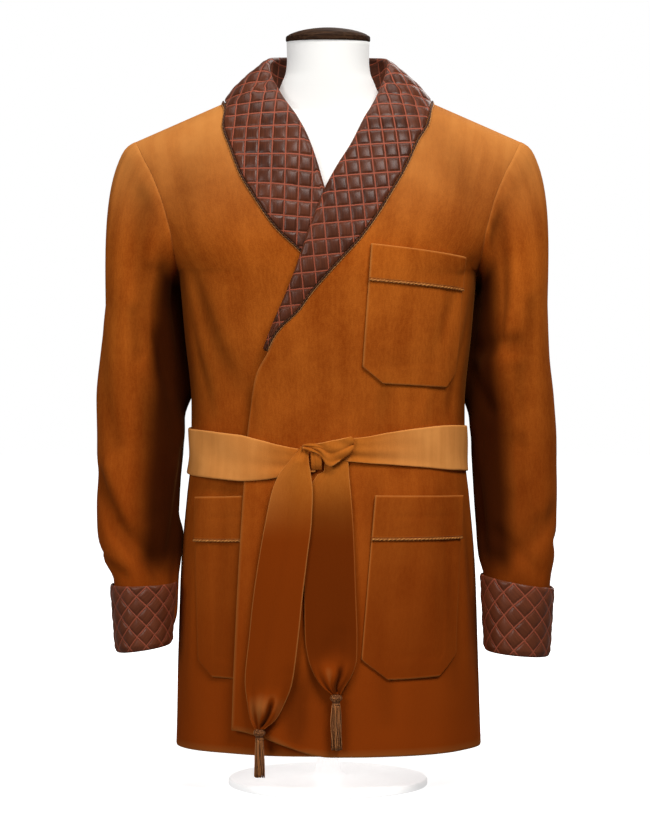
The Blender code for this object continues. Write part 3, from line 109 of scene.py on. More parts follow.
# The panel stops this far short of the lapel's roll
ROLL_SETBACK = 0.0042
# The corner of the over front hangs a little higher than the rest of the hem
HEM_RISE = 0.030
HEM_RISE_START = 0.005
HEM_RISE_WIDTH = 0.125
HEM_RISE_REACH = 0.120

# The under front and its collar are pressed in where the over front lies on them
UNDER_DEPTH = 0.0115
COVER_START = -0.080
COVER_FULL = -0.010

# Gathers that the belt draws into the body: angle, width in degrees, depth
Gather = namedtuple("Gather", "angle width depth")
GATHERS = (
    Gather(-128, 7, 0.0040), Gather(-150, 9, 0.0055), Gather(-172, 6, 0.0035),
    Gather(168, 8, 0.0050), Gather(146, 7, 0.0045), Gather(124, 9, 0.0035),
    Gather(100, 6, 0.0025), Gather(-104, 7, 0.0030), Gather(62, 6, 0.0018),
    Gather(-66, 6, 0.0018),
)
GATHER_HEIGHT = 0.420
GATHER_START = 0.026
GATHER_FULL = 0.060
GATHER_REACH = 0.100
GATHER_PULL = 1.6

# Sleeve rings below the armhole: x grows outward from the jacket's middle
Ring = namedtuple("Ring", "height inner outer front back")
SLEEVE_UNDER = (
    Ring(0.600, 0.1945, 0.2780, -0.0560, 0.0640),
    Ring(0.540, 0.1865, 0.2850, -0.0545, 0.0660),
    Ring(0.483, 0.1790, 0.2900, -0.0530, 0.0640),
    Ring(0.430, 0.1790, 0.2890, -0.0560, 0.0570),
    Ring(0.380, 0.1835, 0.2890, -0.0620, 0.0450),
    Ring(0.330, 0.1865, 0.2880, -0.0700, 0.0300),
    Ring(0.290, 0.1895, 0.2820, -0.0770, 0.0170),
    Ring(0.262, 0.1930, 0.2665, -0.0790, 0.0050),
    Ring(0.235, 0.1940, 0.2640, -0.0795, 0.0020),
    Ring(0.190, 0.1968, 0.2612, -0.0773, -0.0003),
)
SLEEVE_OVER = (
    Ring(0.600, 0.1870, 0.2745, -0.0560, 0.0640),
    Ring(0.540, 0.1800, 0.2770, -0.0545, 0.0660),
    Ring(0.483, 0.1765, 0.2830, -0.0530, 0.0640),
    Ring(0.430, 0.1775, 0.2860, -0.0560, 0.0570),
    Ring(0.380, 0.1805, 0.2860, -0.0620, 0.0450),
    Ring(0.330, 0.1835, 0.2850, -0.0700, 0.0300),
    Ring(0.290, 0.1870, 0.2820, -0.0770, 0.0170),
    Ring(0.265, 0.1935, 0.2770, -0.0790, 0.0065),
    Ring(0.235, 0.1955, 0.2745, -0.0795, 0.0040),
    Ring(0.186, 0.1973, 0.2730, -0.0783, 0.0028),
)
SLEEVE_SQUARENESS = 2.1
CAP_REACH = 0.150
UNDERARM_REACH = 0.030
CAP_SPREAD = 0.8
CAP_FALL = 0.9
# Direction in which the cloth leaves the armhole below the arm: outward and up, and its pull
UNDERARM_OUT = 0.75
UNDERARM_UP = -0.66
UNDERARM_PULL = 1.2
# Outward directions at the shoulder's end: of the seam's face and of the sleeve beyond it
SEAM_FACE = (0.40, 0.92)
SEAM_AWAY = (0.92, -0.40)
# Radius at which the creases' widths are measured
SLEEVE_RADIUS = 0.052

# Sleeve creases: from and to, as a turn in degrees (0 outside, 90 front, 180 toward the
# body) and a height; width and depth
Crease = namedtuple("Crease", "turn_from from_height turn_to to_height width depth")
CREASES_UNDER = (
    Crease(20, 0.385, 125, 0.275, 0.016, 0.0070),
    Crease(110, 0.640, 150, 0.420, 0.014, 0.0050),
    Crease(70, 0.735, 120, 0.520, 0.015, 0.0040),
    Crease(-40, 0.520, -120, 0.440, 0.018, 0.0060),
    Crease(-30, 0.330, -110, 0.290, 0.015, 0.0050),
    Crease(-100, 0.690, -140, 0.560, 0.016, 0.0045),
)
CREASES_OVER = (
    Crease(150, 0.545, 88, 0.553, 0.013, 0.0065),
    Crease(100, 0.735, 128, 0.560, 0.015, 0.0060),
    Crease(140, 0.480, 160, 0.330, 0.016, 0.0045),
    Crease(30, 0.340, 110, 0.285, 0.015, 0.0050),
    Crease(-40, 0.470, -120, 0.520, 0.018, 0.0060),
    Crease(-100, 0.700, -140, 0.590, 0.016, 0.0045),
)

# Turned-back cuffs; the heights are those of the edges at the inner and the outer side
Cuff = namedtuple("Cuff", "inner outer front back top_inner top_outer low_inner low_outer taper")
CUFF_UNDER = Cuff(0.1880, 0.2700, -0.0860, 0.0085, 0.2580, 0.2550, 0.1840, 0.1740, 0.0060)
CUFF_OVER = Cuff(0.1895, 0.2805, -0.0860, 0.0105, 0.2680, 0.2510, 0.1760, 0.1690, 0.0050)
CUFF_TURN = 0.012
CUFF_ROOM = 0.0009
CUFF_DROP = 0.85

# Collar stations from the middle of the back to the end of the lapel. The neck stations
# hold the roll line, the outer edge on the body (x, height before the shoulder's slope,
# and face) and the foot of the stand.
NeckStation = namedtuple(
    "NeckStation", "roll_x roll_y roll_z edge_x edge_height edge_face foot_x foot_y foot_z")
NECK_STATIONS = (
    NeckStation(0.0000, 0.0600, 0.9080, 0.0000, 0.838, 1, 0.0000, 0.0480, 0.8590),
    NeckStation(0.0300, 0.0540, 0.9080, 0.0480, 0.838, 1, 0.0290, 0.0435, 0.8600),
    NeckStation(0.0560, 0.0370, 0.9070, 0.0920, 0.843, 1, 0.0520, 0.0275, 0.8630),
    NeckStation(0.0720, 0.0110, 0.9045, 0.1200, 0.860, 1, 0.0695, 0.0075, 0.8680),
    NeckStation(0.0765, -0.0110, 0.8960, 0.1275, 0.8735, -1, 0.0745, -0.0090, 0.8680),
    NeckStation(0.0705, -0.0330, 0.8800, 0.1240, 0.860, -1, 0.0665, -0.0290, 0.8600),
)
# The lapel stations lie on the front: the roll line and the outer edge, each by x and height
LapelStation = namedtuple("LapelStation", "roll_x roll_z edge_x edge_z")
LAPEL_OVER = (
    LapelStation(0.0605, 0.8570, 0.1190, 0.8220),
    LapelStation(0.0470, 0.8305, 0.1070, 0.8020),
    LapelStation(0.0310, 0.7983, 0.0925, 0.7710),
    LapelStation(0.0138, 0.7709, 0.0753, 0.7412),
    LapelStation(0.0000, 0.7450, 0.0570, 0.7120),
    LapelStation(-0.0110, 0.7180, 0.0360, 0.6835),
    LapelStation(-0.0210, 0.6920, 0.0165, 0.6625),
    LapelStation(-0.0305, 0.6630, -0.0030, 0.6410),
    LapelStation(-0.0410, 0.6340, -0.0220, 0.6190),
    LapelStation(-0.0525, 0.6060, -0.0390, 0.5940),
    LapelStation(-0.0640, 0.5800, -0.0550, 0.5710),
    LapelStation(-0.0765, 0.5475, -0.0690, 0.5430),
)
LAPEL_UNDER = (
    LapelStation(0.0565, 0.8570, 0.1255, 0.8220),
    LapelStation(0.0430, 0.8345, 0.1150, 0.7900),
    LapelStation(0.0290, 0.8090, 0.1035, 0.7610),
    LapelStation(0.0170, 0.7800, 0.0860, 0.7325),
    LapelStation(0.0070, 0.7480, 0.0630, 0.6995),
    LapelStation(-0.0050, 0.7180, 0.0380, 0.6750),
    LapelStation(-0.0165, 0.6900, 0.0150, 0.6515),
    LapelStation(-0.0285, 0.6620, -0.0060, 0.6310),
    LapelStation(-0.0405, 0.6340, -0.0245, 0.6110),
    LapelStation(-0.0525, 0.6060, -0.0410, 0.5900),
    LapelStation(-0.0640, 0.5800, -0.0550, 0.5695),
    LapelStation(-0.0765, 0.5475, -0.0690, 0.5430),
)
COLLAR_LAPEL_TURN = 0.007
FOOT_DEPTH = 0.007
CENTRE_BACK = 0.0002
FALL_BULGE = 0.004
NEAR_BODY = 0.012
SLOPE_STEP = 0.002
STEEPEST = 2.6
# Room between a collar and the panel below it, by whether that panel is pressed in
COLLAR_ROOM = {False: 0.0005, True: 0.0014}
TURN_ROOM = 0.0016
PIPING_ROOM = 0.0012
PIPING_SEAM = 0.0008
# Stations are spaced by the roll's length, or by this share of the outer edge's if longer
EDGE_SHARE = 0.85

# Patch pockets by their corners as the front shows them: x and height
Pocket = namedtuple("Pocket", "name left_top right_top left_low right_low chamfer band front")
POCKETS = (
    Pocket("chest_pocket", (0.0520, 0.6770), (0.1660, 0.6620), (0.0400, 0.5080),
           (0.1560, 0.4990), 0.020, 0.042, "over"),
    Pocket("lower_pocket_over", (0.0570, 0.3700), (0.1640, 0.3660), (0.0380, 0.1450),
           (0.1560, 0.1480), 0.026, 0.052, "over"),
    Pocket("lower_pocket_under", (-0.1640, 0.3640), (-0.0600, 0.3720), (-0.1620, 0.1450),
           (-0.0500, 0.1440), 0.020, 0.052, "under"),
)
POCKET_LIFT = {"over": 0.0012, "under": 0.0014}

# The belt round the waist, from the knot's left over the back to its right
BeltSection = namedtuple("BeltSection", "angle middle width")
BELT = (
    BeltSection(-4, 0.4115, 0.026), BeltSection(-12, 0.4120, 0.032),
    BeltSection(-18, 0.4115, 0.040), BeltSection(-26, 0.4125, 0.049),
    BeltSection(-38, 0.4150, 0.057),
    BeltSection(-62, 0.4180, 0.058), BeltSection(-95, 0.4190, 0.057),
    BeltSection(-140, 0.4200, 0.057), BeltSection(-180, 0.4200, 0.057),
    BeltSection(-220, 0.4205, 0.057), BeltSection(-265, 0.4215, 0.057),
    BeltSection(-298, 0.4255, 0.056), BeltSection(-322, 0.4275, 0.048),
    BeltSection(-336, 0.4270, 0.040), BeltSection(-347, 0.4255, 0.032),
    BeltSection(-355, 0.4255, 0.027),
)
BELT_LIFT = 0.0008

# The knot's wing, a strip that runs to the right, folds and runs back behind itself: x, the
# lower and upper edge and the distance of its middle off the body
Wing = namedtuple("Wing", "x low high off")
KNOT_WING = (
    Wing(-0.0300, 0.4275, 0.4325, 0.0125), Wing(-0.0200, 0.4250, 0.4340, 0.0132),
    Wing(-0.0100, 0.4200, 0.4350, 0.0140), Wing(-0.0010, 0.4065, 0.4370, 0.0146),
    Wing(0.0036, 0.4048, 0.4380, 0.0147), Wing(0.0120, 0.4105, 0.4395, 0.0142),
    Wing(0.0205, 0.4170, 0.4415, 0.0128), Wing(0.0268, 0.4235, 0.4425, 0.0108),
    Wing(0.0298, 0.4275, 0.4395, 0.0090), Wing(0.0262, 0.4235, 0.4370, 0.0076),
    Wing(0.0180, 0.4160, 0.4360, 0.0076), Wing(0.0020, 0.4130, 0.4360, 0.0076),
)
WING_PUFF = 0.0008
# Creases that run down the wing: place across it, slope, start, width and depth
WING_CREASES = ((0.62, 4, 0.02, 0.09, 0.0013), (0.25, 9, 0.004, 0.10, 0.0010))
# The short wrap below the wing: its path down the front, by height and distance off
Wrap = namedtuple("Wrap", "height off")
KNOT_WRAP = (
    Wrap(0.4310, 0.0050), Wrap(0.4270, 0.0078), Wrap(0.4210, 0.0098), Wrap(0.4140, 0.0104),
    Wrap(0.4075, 0.0090), Wrap(0.4035, 0.0062), Wrap(0.4020, 0.0048),
)
WRAP_LEFT = -0.0200
WRAP_RIGHT = -0.0075

# Hanging belt ends: height, left and right edge as the front shows them, and the distance
# off the body at the left edge, the middle and the right edge
Tail = namedtuple("Tail", "height left right off_left off_middle off_right")
TAIL_FRONT = (
    Tail(0.4300, -0.0330, -0.0245, 0.0086, 0.0086, 0.0086),
    Tail(0.4250, -0.0365, -0.0235, 0.0086, 0.0088, 0.0086),
    Tail(0.4100, -0.0470, -0.0225, 0.0092, 0.0135, 0.0092),
    Tail(0.3970, -0.0568, -0.0206, 0.0090, 0.0125, 0.0090),
    Tail(0.3730, -0.0665, -0.0181, 0.0085, 0.0100, 0.0085),
    Tail(0.3390, -0.0737, -0.0193, 0.0080, 0.0090, 0.0085),
    Tail(0.2970, -0.0810, -0.0242, 0.0080, 0.0095, 0.0085),
    Tail(0.2460, -0.0883, -0.0302, 0.0080, 0.0105, 0.0085),
    Tail(0.1976, -0.0931, -0.0351, 0.0080, 0.0115, 0.0085),
    Tail(0.1445, -0.0979, -0.0423, 0.0085, 0.0140, 0.0085),
    Tail(0.1142, -0.0943, -0.0532, 0.0090, 0.0150, 0.0090),
    Tail(0.0985, -0.0907, -0.0617, 0.0100, 0.0150, 0.0100),
    Tail(0.0870, -0.0850, -0.0745, 0.0120, 0.0130, 0.0120),
)
TAIL_REAR = (
    Tail(0.4170, -0.0010, 0.0180, 0.0036, 0.0036, 0.0036),
    Tail(0.4095, -0.0040, 0.0245, 0.0036, 0.0036, 0.0036),
    Tail(0.4000, -0.0050, 0.0252, 0.0032, 0.0042, 0.0034),
    Tail(0.3950, -0.0130, 0.0255, 0.0032, 0.0040, 0.0034),
    Tail(0.3680, -0.0240, 0.0280, 0.0030, 0.0034, 0.0036),
    Tail(0.3200, -0.0270, 0.0310, 0.0030, 0.0034, 0.0040),
    Tail(0.2480, -0.0285, 0.0335, 0.0030, 0.0040, 0.0045),
    Tail(0.1976, -0.0275, 0.0350, 0.0030, 0.0050, 0.0050),
    Tail(0.1740, -0.0240, 0.0345, 0.0034, 0.0070, 0.0055),
    Tail(0.1530, -0.0165, 0.0285, 0.0050, 0.0100, 0.0065),
    Tail(0.1385, -0.0060, 0.0195, 0.0075, 0.0120, 0.0085),
    Tail(0.1300, 0.0045, 0.0150, 0.0090, 0.0110, 0.0090),
)

# Tassels hang from the tails' feet: their lengths
TASSEL_FRONT_LENGTH = 0.0600
TASSEL_REAR_LENGTH = 0.0690
TASSEL_HEAD_RADIUS = 0.0066
TASSEL_HEAD_HEIGHT = 0.0120
TASSEL_PROFILE = (
    # share of the head's radius, drop below its top
    (0.30, 0.0), (0.85, 0.0025), (1.0, 0.0055), (0.72, 0.0085), (0.80, TASSEL_HEAD_HEIGHT),
)

# Dress form: a torso clear of the cloth, which it carries at the shoulders
FORM_BOTTOM = 0.100
FORM_SIDES = 96
FORM_ROWS = (0.45, 2, 3, 4, 5, 6, 7, 9, 10, 11, 12, 13)
FORM_FRONT_INSET = 0.0205
FORM_BACK_INSET = 0.0090
FORM_SHOULDER_INSET = 0.0034
FORM_THIN_FROM = 9
FORM_THIN_TO = 13
FORM_TOP_INSET = 0.0026
FORM_TOP_ROUND = 0.0040
FORM_NECK_INSET = 0.0120
FORM_NECK_FROM = 0.0800
FORM_NECK_TO = 0.1250
FORM_ARM_CUT = 0.2120
FORM_ARM_ROUND = 0.0300
FORM_FOOT_SHARE = 0.93
FORM_FRONT_BLEND = (-0.2, 0.6)
SHOULDER_LOOPS = (
    # half width, half depth, middle
    (0.1900, 0.0550, 0.0050), (0.1600, 0.0525, 0.0030), (0.1250, 0.0500, 0.0010),
    (0.0900, 0.0475, -0.0010), (0.0680, 0.0445, -0.0035),
)
NECK_LOOPS = (
    # half width, half depth, height
    (0.0570, 0.0460, 0.8780), (0.0525, 0.0470, 0.8900), (0.0510, 0.0480, 0.9050),
    (0.0515, 0.0490, 0.9275),
)
NECK_MIDDLE = -0.0060
NECK_TOP = 0.9275


# Folds of the body's cloth: from and to, as an angle in degrees and a height; width, and
# depth, which is below 0 for a ridge
Fold = namedtuple("Fold", "angle_from height_from angle_to height_to width depth")
FOLDS = (
    Fold(-11, 0.150, -10, 0.066, 0.011, 0.0050), Fold(3, 0.200, -6, 0.130, 0.010, 0.0032),
    Fold(-64, 0.650, -42, 0.505, 0.015, 0.0036), Fold(-72, 0.600, -58, 0.470, 0.012, 0.0027),
    Fold(62, 0.655, 46, 0.540, 0.014, 0.0030), Fold(76, 0.605, 62, 0.480, 0.012, 0.0027),
    Fold(34, 0.830, 50, 0.720, 0.020, 0.0014), Fold(-40, 0.820, -54, 0.700, 0.022, 0.0014),
    Fold(24, 0.520, 20, 0.455, 0.011, 0.0018), Fold(44, 0.500, 40, 0.455, 0.010, -0.0018),
    Fold(-34, 0.505, -30, 0.455, 0.012, 0.0019), Fold(12, 0.545, 10, 0.460, 0.012, -0.0015),
    Fold(36, 0.375, 40, 0.190, 0.015, -0.0021), Fold(52, 0.370, 56, 0.140, 0.016, 0.0027),
    Fold(17, 0.375, 21, 0.100, 0.013, 0.0024), Fold(-46, 0.375, -50, 0.150, 0.014, 0.0021),
    Fold(-62, 0.370, -66, 0.120, 0.013, -0.0018), Fold(72, 0.370, 74, 0.160, 0.014, 0.0024),
    Fold(-2, 0.330, 2, 0.080, 0.014, 0.0021), Fold(28, 0.220, 30, 0.070, 0.014, -0.0018),
    Fold(-168, 0.790, -156, 0.560, 0.020, 0.0016), Fold(158, 0.800, 164, 0.580, 0.022, 0.0014),
    Fold(180, 0.690, 178, 0.520, 0.018, 0.0010), Fold(-126, 0.640, -146, 0.500, 0.014, 0.0024),
    Fold(128, 0.650, 146, 0.520, 0.014, 0.0023), Fold(-164, 0.365, -169, 0.110, 0.018, -0.0024),
    Fold(150, 0.370, 146, 0.080, 0.018, 0.0023), Fold(177, 0.350, 179, 0.090, 0.016, 0.0018),
    Fold(-122, 0.365, -125, 0.120, 0.016, 0.0021), Fold(118, 0.370, 121, 0.140, 0.016, 0.0021),
    Fold(-98, 0.360, -100, 0.180, 0.013, -0.0018), Fold(100, 0.365, 101, 0.150, 0.013, -0.0018),
)
BODY_RADIUS = 0.165
# The hem hangs in slow waves: count round the body, depth and reach above the hem
HEM_WAVES = ((7, 0.6, 0.0010), (11, 2.1, 0.0006))
HEM_REACH = 0.110
# A turned hem or edge is thicker as far in as its stitches
TURNING = 0.0005
TURNING_WIDTH = 0.022
TURNING_SOFT = 0.003
# Heights between which the turned edges end, below the collar
TURNING_END = (0.80, 0.70)
# The two faces of a cloth draw together by this share at a free edge
RIM_SHARE = 0.62
# Painted highlight along a sheet's edge: how pale its second line and its edge line are painted
PAINTED_EDGE_HIGHLIGHT = ((1, 0.35), (0, 1.0))
# Depth of a fold at its ends, as a share of its depth at the middle
FOLD_ENDS = 0.35

# Fine creases of the sleeves, where a depth below 0 is a ridge
FINE_CREASES_UNDER = (
    Crease(84, 0.590, 106, 0.340, 0.011, 0.0038), Crease(128, 0.640, 138, 0.500, 0.010, 0.0030),
    Crease(60, 0.330, 140, 0.262, 0.010, 0.0048), Crease(-10, 0.300, 60, 0.270, 0.009, 0.0036),
    Crease(130, 0.560, 170, 0.470, 0.012, 0.0039), Crease(20, 0.560, 60, 0.430, 0.014, 0.0025),
    Crease(95, 0.520, 120, 0.360, 0.012, -0.0031), Crease(-60, 0.640, -90, 0.480, 0.015, 0.0036),
    Crease(175, 0.420, 150, 0.300, 0.012, 0.0042), Crease(45, 0.400, 80, 0.330, 0.011, -0.0028),
    Crease(-20, 0.400, -70, 0.350, 0.012, 0.0042), Crease(-140, 0.430, -100, 0.330, 0.013, 0.0042),
)
FINE_CREASES_OVER = (
    Crease(102, 0.735, 114, 0.560, 0.010, 0.0040), Crease(84, 0.520, 108, 0.350, 0.011, 0.0032),
    Crease(120, 0.320, 50, 0.268, 0.010, 0.0045), Crease(10, 0.310, -50, 0.275, 0.009, 0.0039),
    Crease(160, 0.520, 120, 0.470, 0.010, 0.0042), Crease(60, 0.600, 80, 0.430, 0.014, 0.0028),
    Crease(110, 0.540, 100, 0.380, 0.012, -0.0031), Crease(-60, 0.640, -90, 0.480, 0.015, 0.0036),
    Crease(175, 0.430, 150, 0.300, 0.012, 0.0045), Crease(85, 0.430, 60, 0.340, 0.012, 0.0034),
    Crease(-20, 0.400, -70, 0.350, 0.012, 0.0042), Crease(-140, 0.430, -100, 0.330, 0.013, 0.0042),
)

# Stage: each light's place, aim, size, power and colour
STAGE_LIGHTS = (
    ("key", (0.90, -1.90, 2.55), (0.0, 0.0, 0.66), (1.1, 1.1), 60.0, (1.0, 0.97, 0.93)),
    ("fill", (-1.60, -2.50, 1.30), (0.0, 0.0, 0.40), (1.4, 1.4), 32.0, (1.0, 0.99, 0.97)),
    ("top", (0.0, 0.10, 2.40), (0.0, 0.0, 0.80), (1.4, 1.0), 15.0, (1.0, 0.98, 0.95)),
    ("rear", (0.9, 2.6, 2.0), (0.0, 0.0, 0.55), (1.8, 1.8), 26.0, (1.0, 0.98, 0.96)),
)
WORLD_COLOUR = (1.0, 1.0, 1.0)
AMBIENT = 0.15
# The camera looks along +Y; at the jacket's middle the view is 0.8125 m wide
CAMERA_DISTANCE = 4.05
FRAME_WIDTH = 0.8125
CAMERA_PLACE = (0.0, -CAMERA_DISTANCE, 0.651)
CAMERA_AIM = (-0.00375, 0.0, 0.474)

CAP_TURNED = (
    # radius, rise above the neck
    (0.0500, 0.0), (0.0515, 0.0004), (0.0525, 0.0016), (0.0526, 0.0040), (0.0524, 0.0062),
    (0.0514, 0.0074), (0.0496, 0.0080), (0.0492, 0.0087), (0.0470, 0.0099), (0.0436, 0.0113),
    (0.0380, 0.0132), (0.0300, 0.0151), (0.0210, 0.0166), (0.0130, 0.0175), (0.0060, 0.0180),
    (0.0012, 0.0182),
)
STAND_TURNED = (
    # radius, height
    (0.1245, 0.0), (0.1250, 0.0006), (0.1250, 0.0046), (0.1245, 0.0062), (0.1228, 0.0078),
    (0.1180, 0.0085), (0.0900, 0.0094), (0.0500, 0.0104), (0.0300, 0.0112), (0.0215, 0.0134),
    (0.0170, 0.0170), (0.0147, 0.0225), (0.0140, 0.0280), (0.0140, 0.0990), (0.0136, 0.0996),
)


def smooth_curve(keys, values):
    """A smooth function through a short table, which never overshoots its rows."""
    keys = np.asarray(keys, float)
    values = np.asarray(values, float)
    steps = np.diff(keys)
    slopes = np.diff(values) / steps
    tangents = np.zeros_like(values)
    for i in range(1, len(keys) - 1):
        if slopes[i - 1] * slopes[i] > 0:
            before = 2 * steps[i] + steps[i - 1]
            after = steps[i] + 2 * steps[i - 1]
            tangents[i] = (before + after) / (before / slopes[i - 1] + after / slopes[i])
    tangents[0] = slopes[0]
    tangents[-1] = slopes[-1]

    def value(at):
        at = np.clip(np.asarray(at, float), keys[0], keys[-1])
        i = np.clip(np.searchsorted(keys, at, side="right") - 1, 0, len(keys) - 2)
        step = keys[i + 1] - keys[i]
        t = (at - keys[i]) / step
        start = values[i] * (1 + 2 * t) * (1 - t) ** 2 + tangents[i] * step * t * (1 - t) ** 2
        end = values[i + 1] * t * t * (3 - 2 * t) + tangents[i + 1] * step * t * t * (t - 1)
        return start + end

    return value


def columns_of(table, key):
    """A smooth function for each named column of a table."""
    order = sorted(table, key=lambda entry: getattr(entry, key))
    keys = [getattr(entry, key) for entry in order]
    names = [name for name in table[0]._fields if name != key]
    return {name: smooth_curve(keys, [getattr(entry, name) for entry in order])
            for name in names}


def blend(low, high, at):
    """0 below low, 1 above high and smooth between them."""
    t = np.clip((np.asarray(at, float) - low) / (high - low), 0, 1)
    return t * t * (3 - 2 * t)


def hump(at, middle, width):
    """1 at the middle and fading away from it over a width."""
    return np.exp(-((at - middle) / width) ** 2)


def squared_off(wave, squareness):
    """A sine or cosine that makes a ring squarer than a circle."""
    return np.sign(wave) * np.abs(wave) ** (2 / squareness)


def unit(vectors):
    """Vectors drawn to length 1."""
    return vectors / np.linalg.norm(vectors, axis=-1, keepdims=True)


ROWS = np.arange(len(BODY))
BODY_AT = {name: smooth_curve(ROWS, [getattr(entry, name) for entry in BODY])
           for name in Section._fields}
DENSE = 600
DENSE_ROWS = np.linspace(0, TOP_ROW, DENSE)
UPPER_ROWS = np.arange(ARMPIT_ROW + 3, TOP_ROW + 1)
DENSE_UPPER_ROWS = np.linspace(ARMPIT_ROW + 3, TOP_ROW, DENSE // 3)


def plain_row(height):
    """The row at a height, before the shoulder's slope."""
    return np.interp(height, BODY_AT["height"](DENSE_ROWS), DENSE_ROWS)


def opening(lapel, side):
    """The free edge of a front as x by height: front edge, roll line and neck."""
    rolls = [Edge(s.roll_z, s.roll_x + ROLL_SETBACK) for s in reversed(lapel)]
    edges = FRONT_EDGE + tuple(rolls) + NECK_EDGE
    return smooth_curve([e.height for e in edges], [side * e.x for e in edges])


OVER_EDGE = opening(LAPEL_OVER, 1)


def shoulder_slope(x, height):
    """How far a point lies below its row's height, out along the shoulder."""
    low = BODY[ARMPIT_ROW].height
    rise = np.clip((height - low) / (BODY[-1].height - low), 0, 1)
    out = np.clip((np.abs(x) - NECK_POINT) / (SHOULDER_POINT - NECK_POINT), 0, 1.3)
    return SHOULDER_DROP * rise * out


def gather_depth(angle, height):
    """How far the belt's gathers draw the cloth in."""
    off = np.abs(height - GATHER_HEIGHT)
    reach = GATHER_PULL * blend(GATHER_START, GATHER_FULL, off) * hump(off, 0, GATHER_REACH)
    total = np.zeros(np.broadcast(angle, height).shape)
    for fold in GATHERS:
        away = (np.degrees(angle) - fold.angle + 180) % 360 - 180
        total = total + fold.depth * hump(away, 0, fold.width)
    return total * reach


def ring_point(angle, row):
    """The plain ring at a row, without gathers."""
    cosine = np.cos(angle)
    height = BODY_AT["height"](row)
    depth = np.where(cosine > 0, BODY_AT["front"](row), BODY_AT["back"](row))
    x = BODY_AT["half_width"](row) * squared_off(np.sin(angle), SQUARENESS)
    y = -depth * squared_off(cosine, SQUARENESS)
    return np.stack([x, y, height - shoulder_slope(x, height)], axis=-1)


def ring_normal(angle, row):
    """The plain ring's outward direction."""
    low = np.clip(row - SMALL_CLIMB, 0, TOP_ROW)
    high = np.clip(row + SMALL_CLIMB, 0, TOP_ROW)
    across = ring_point(angle + SMALL_TURN, row) - ring_point(angle - SMALL_TURN, row)
    up = ring_point(angle, high) - ring_point(angle, low)
    return unit(np.cross(across, up))


def angle_at(x, row):
    """The front angle at which a row's ring has this x."""
    part = np.clip(np.abs(x) / BODY_AT["half_width"](row), 0, 1)
    return np.sign(x) * np.arcsin(part ** (SQUARENESS / 2))


def row_at(x, z):
    """The row whose ring passes through height z at this x."""
    heights = BODY_AT["height"](DENSE_ROWS)
    x, z = np.broadcast_arrays(np.asarray(x, float), np.asarray(z, float))
    found = [np.interp(b, heights - shoulder_slope(a, heights), DENSE_ROWS)
             for a, b in zip(x.ravel(), z.ravel())]
    return np.array(found).reshape(x.shape)


def front_point(x, z, lift=0.0):
    """A point on the front by the x and height that the front view shows."""
    row = row_at(x, z)
    return body_point(angle_at(x, row), row, lift)


def under_sink(x, z):
    """How far the under front is pressed in below the over front."""
    return UNDER_DEPTH * blend(COVER_START, COVER_FULL, x - OVER_EDGE(z))


def grid_normals(points, around=False):
    """Outward directions of a grid whose rows climb and whose columns run to the right."""
    if around:
        across = np.roll(points, -1, axis=1) - np.roll(points, 1, axis=1)
    else:
        across = np.gradient(points, axis=1)
    return unit(np.cross(across, np.gradient(points, axis=0)))


def armhole_angle(row):
    """The angle at which a front ends: the side seam, and the armhole above it."""
    return np.arccos(BODY_AT["armhole"](row) ** (SQUARENESS / 2))


def side_gap(row):
    """Half of the seam at the side, as an angle."""
    return 0.5 * SEAM / BODY_AT["front"](np.minimum(row, ARMPIT_ROW))


def raised_rows(rows, rise):
    """Rows of a front, lifted near the hem by its corner's rise."""
    heights = BODY_AT["height"](rows)
    share = np.clip(1 - (heights - heights[0]) / HEM_RISE_REACH, 0, 1)
    return plain_row(heights + rise * share)


def neckline_row(x):
    """The row at which the back panel ends inside the neckline."""
    inside = np.clip(1 - (x / NECK_POINT) ** 2, 0, 1)
    depth = NECK_DEPTH * np.sqrt(inside)
    upper = np.linspace(TOP_ROW, ARMPIT_ROW + 4, DENSE // 3)
    return np.interp(depth, BODY_AT["back"](upper), upper)


def armhole_loop(side, sides):
    """The armhole as a loop of points from the shoulder down the front and up the back."""
    half = sides // 2
    rows = [TOP_ROW - k * (TOP_ROW - ARMPIT_ROW) / half for k in range(half + 1)]
    rows += rows[1:-1][::-1]
    rows = np.array(rows)
    turn = np.arange(sides)
    angle = armhole_angle(rows)
    angle = np.where(turn <= half, angle, math.pi - angle)
    points, normal = body_point(side * angle, rows)
    along = unit(np.roll(points, -1, axis=0) - np.roll(points, 1, axis=0))
    away = unit(np.cross(along, normal)) * -side
    away[0] = unit(np.array([side * SEAM_AWAY[0], 0.0, SEAM_AWAY[1]]))
    away[half] = (0.0, 0.0, 1.0)
    normal[0] = unit(np.array([side * SEAM_FACE[0], 0.0, SEAM_FACE[1]]))
    return points, normal, away


def crease_depth(creases, turn, height):
    """Depth of the sleeve's creases at a turn round it, in degrees, and a height."""
    total = np.zeros(np.broadcast(turn, height).shape)
    for crease in creases:
        start = np.array([math.radians(crease.turn_from) * SLEEVE_RADIUS, crease.from_height])
        end = np.array([math.radians(crease.turn_to) * SLEEVE_RADIUS, crease.to_height])
        wrapped = (turn - crease.turn_from + 180) % 360 - 180 + crease.turn_from
        u = np.radians(wrapped) * SLEEVE_RADIUS
        line = end - start
        t = ((u - start[0]) * line[0] + (height - start[1]) * line[1]) / (line @ line)
        near = np.clip(t, 0, 1)
        away = np.hypot(u - start[0] - near * line[0], height - start[1] - near * line[1])
        total = total + crease.depth * hump(away, 0, crease.width)
    return total


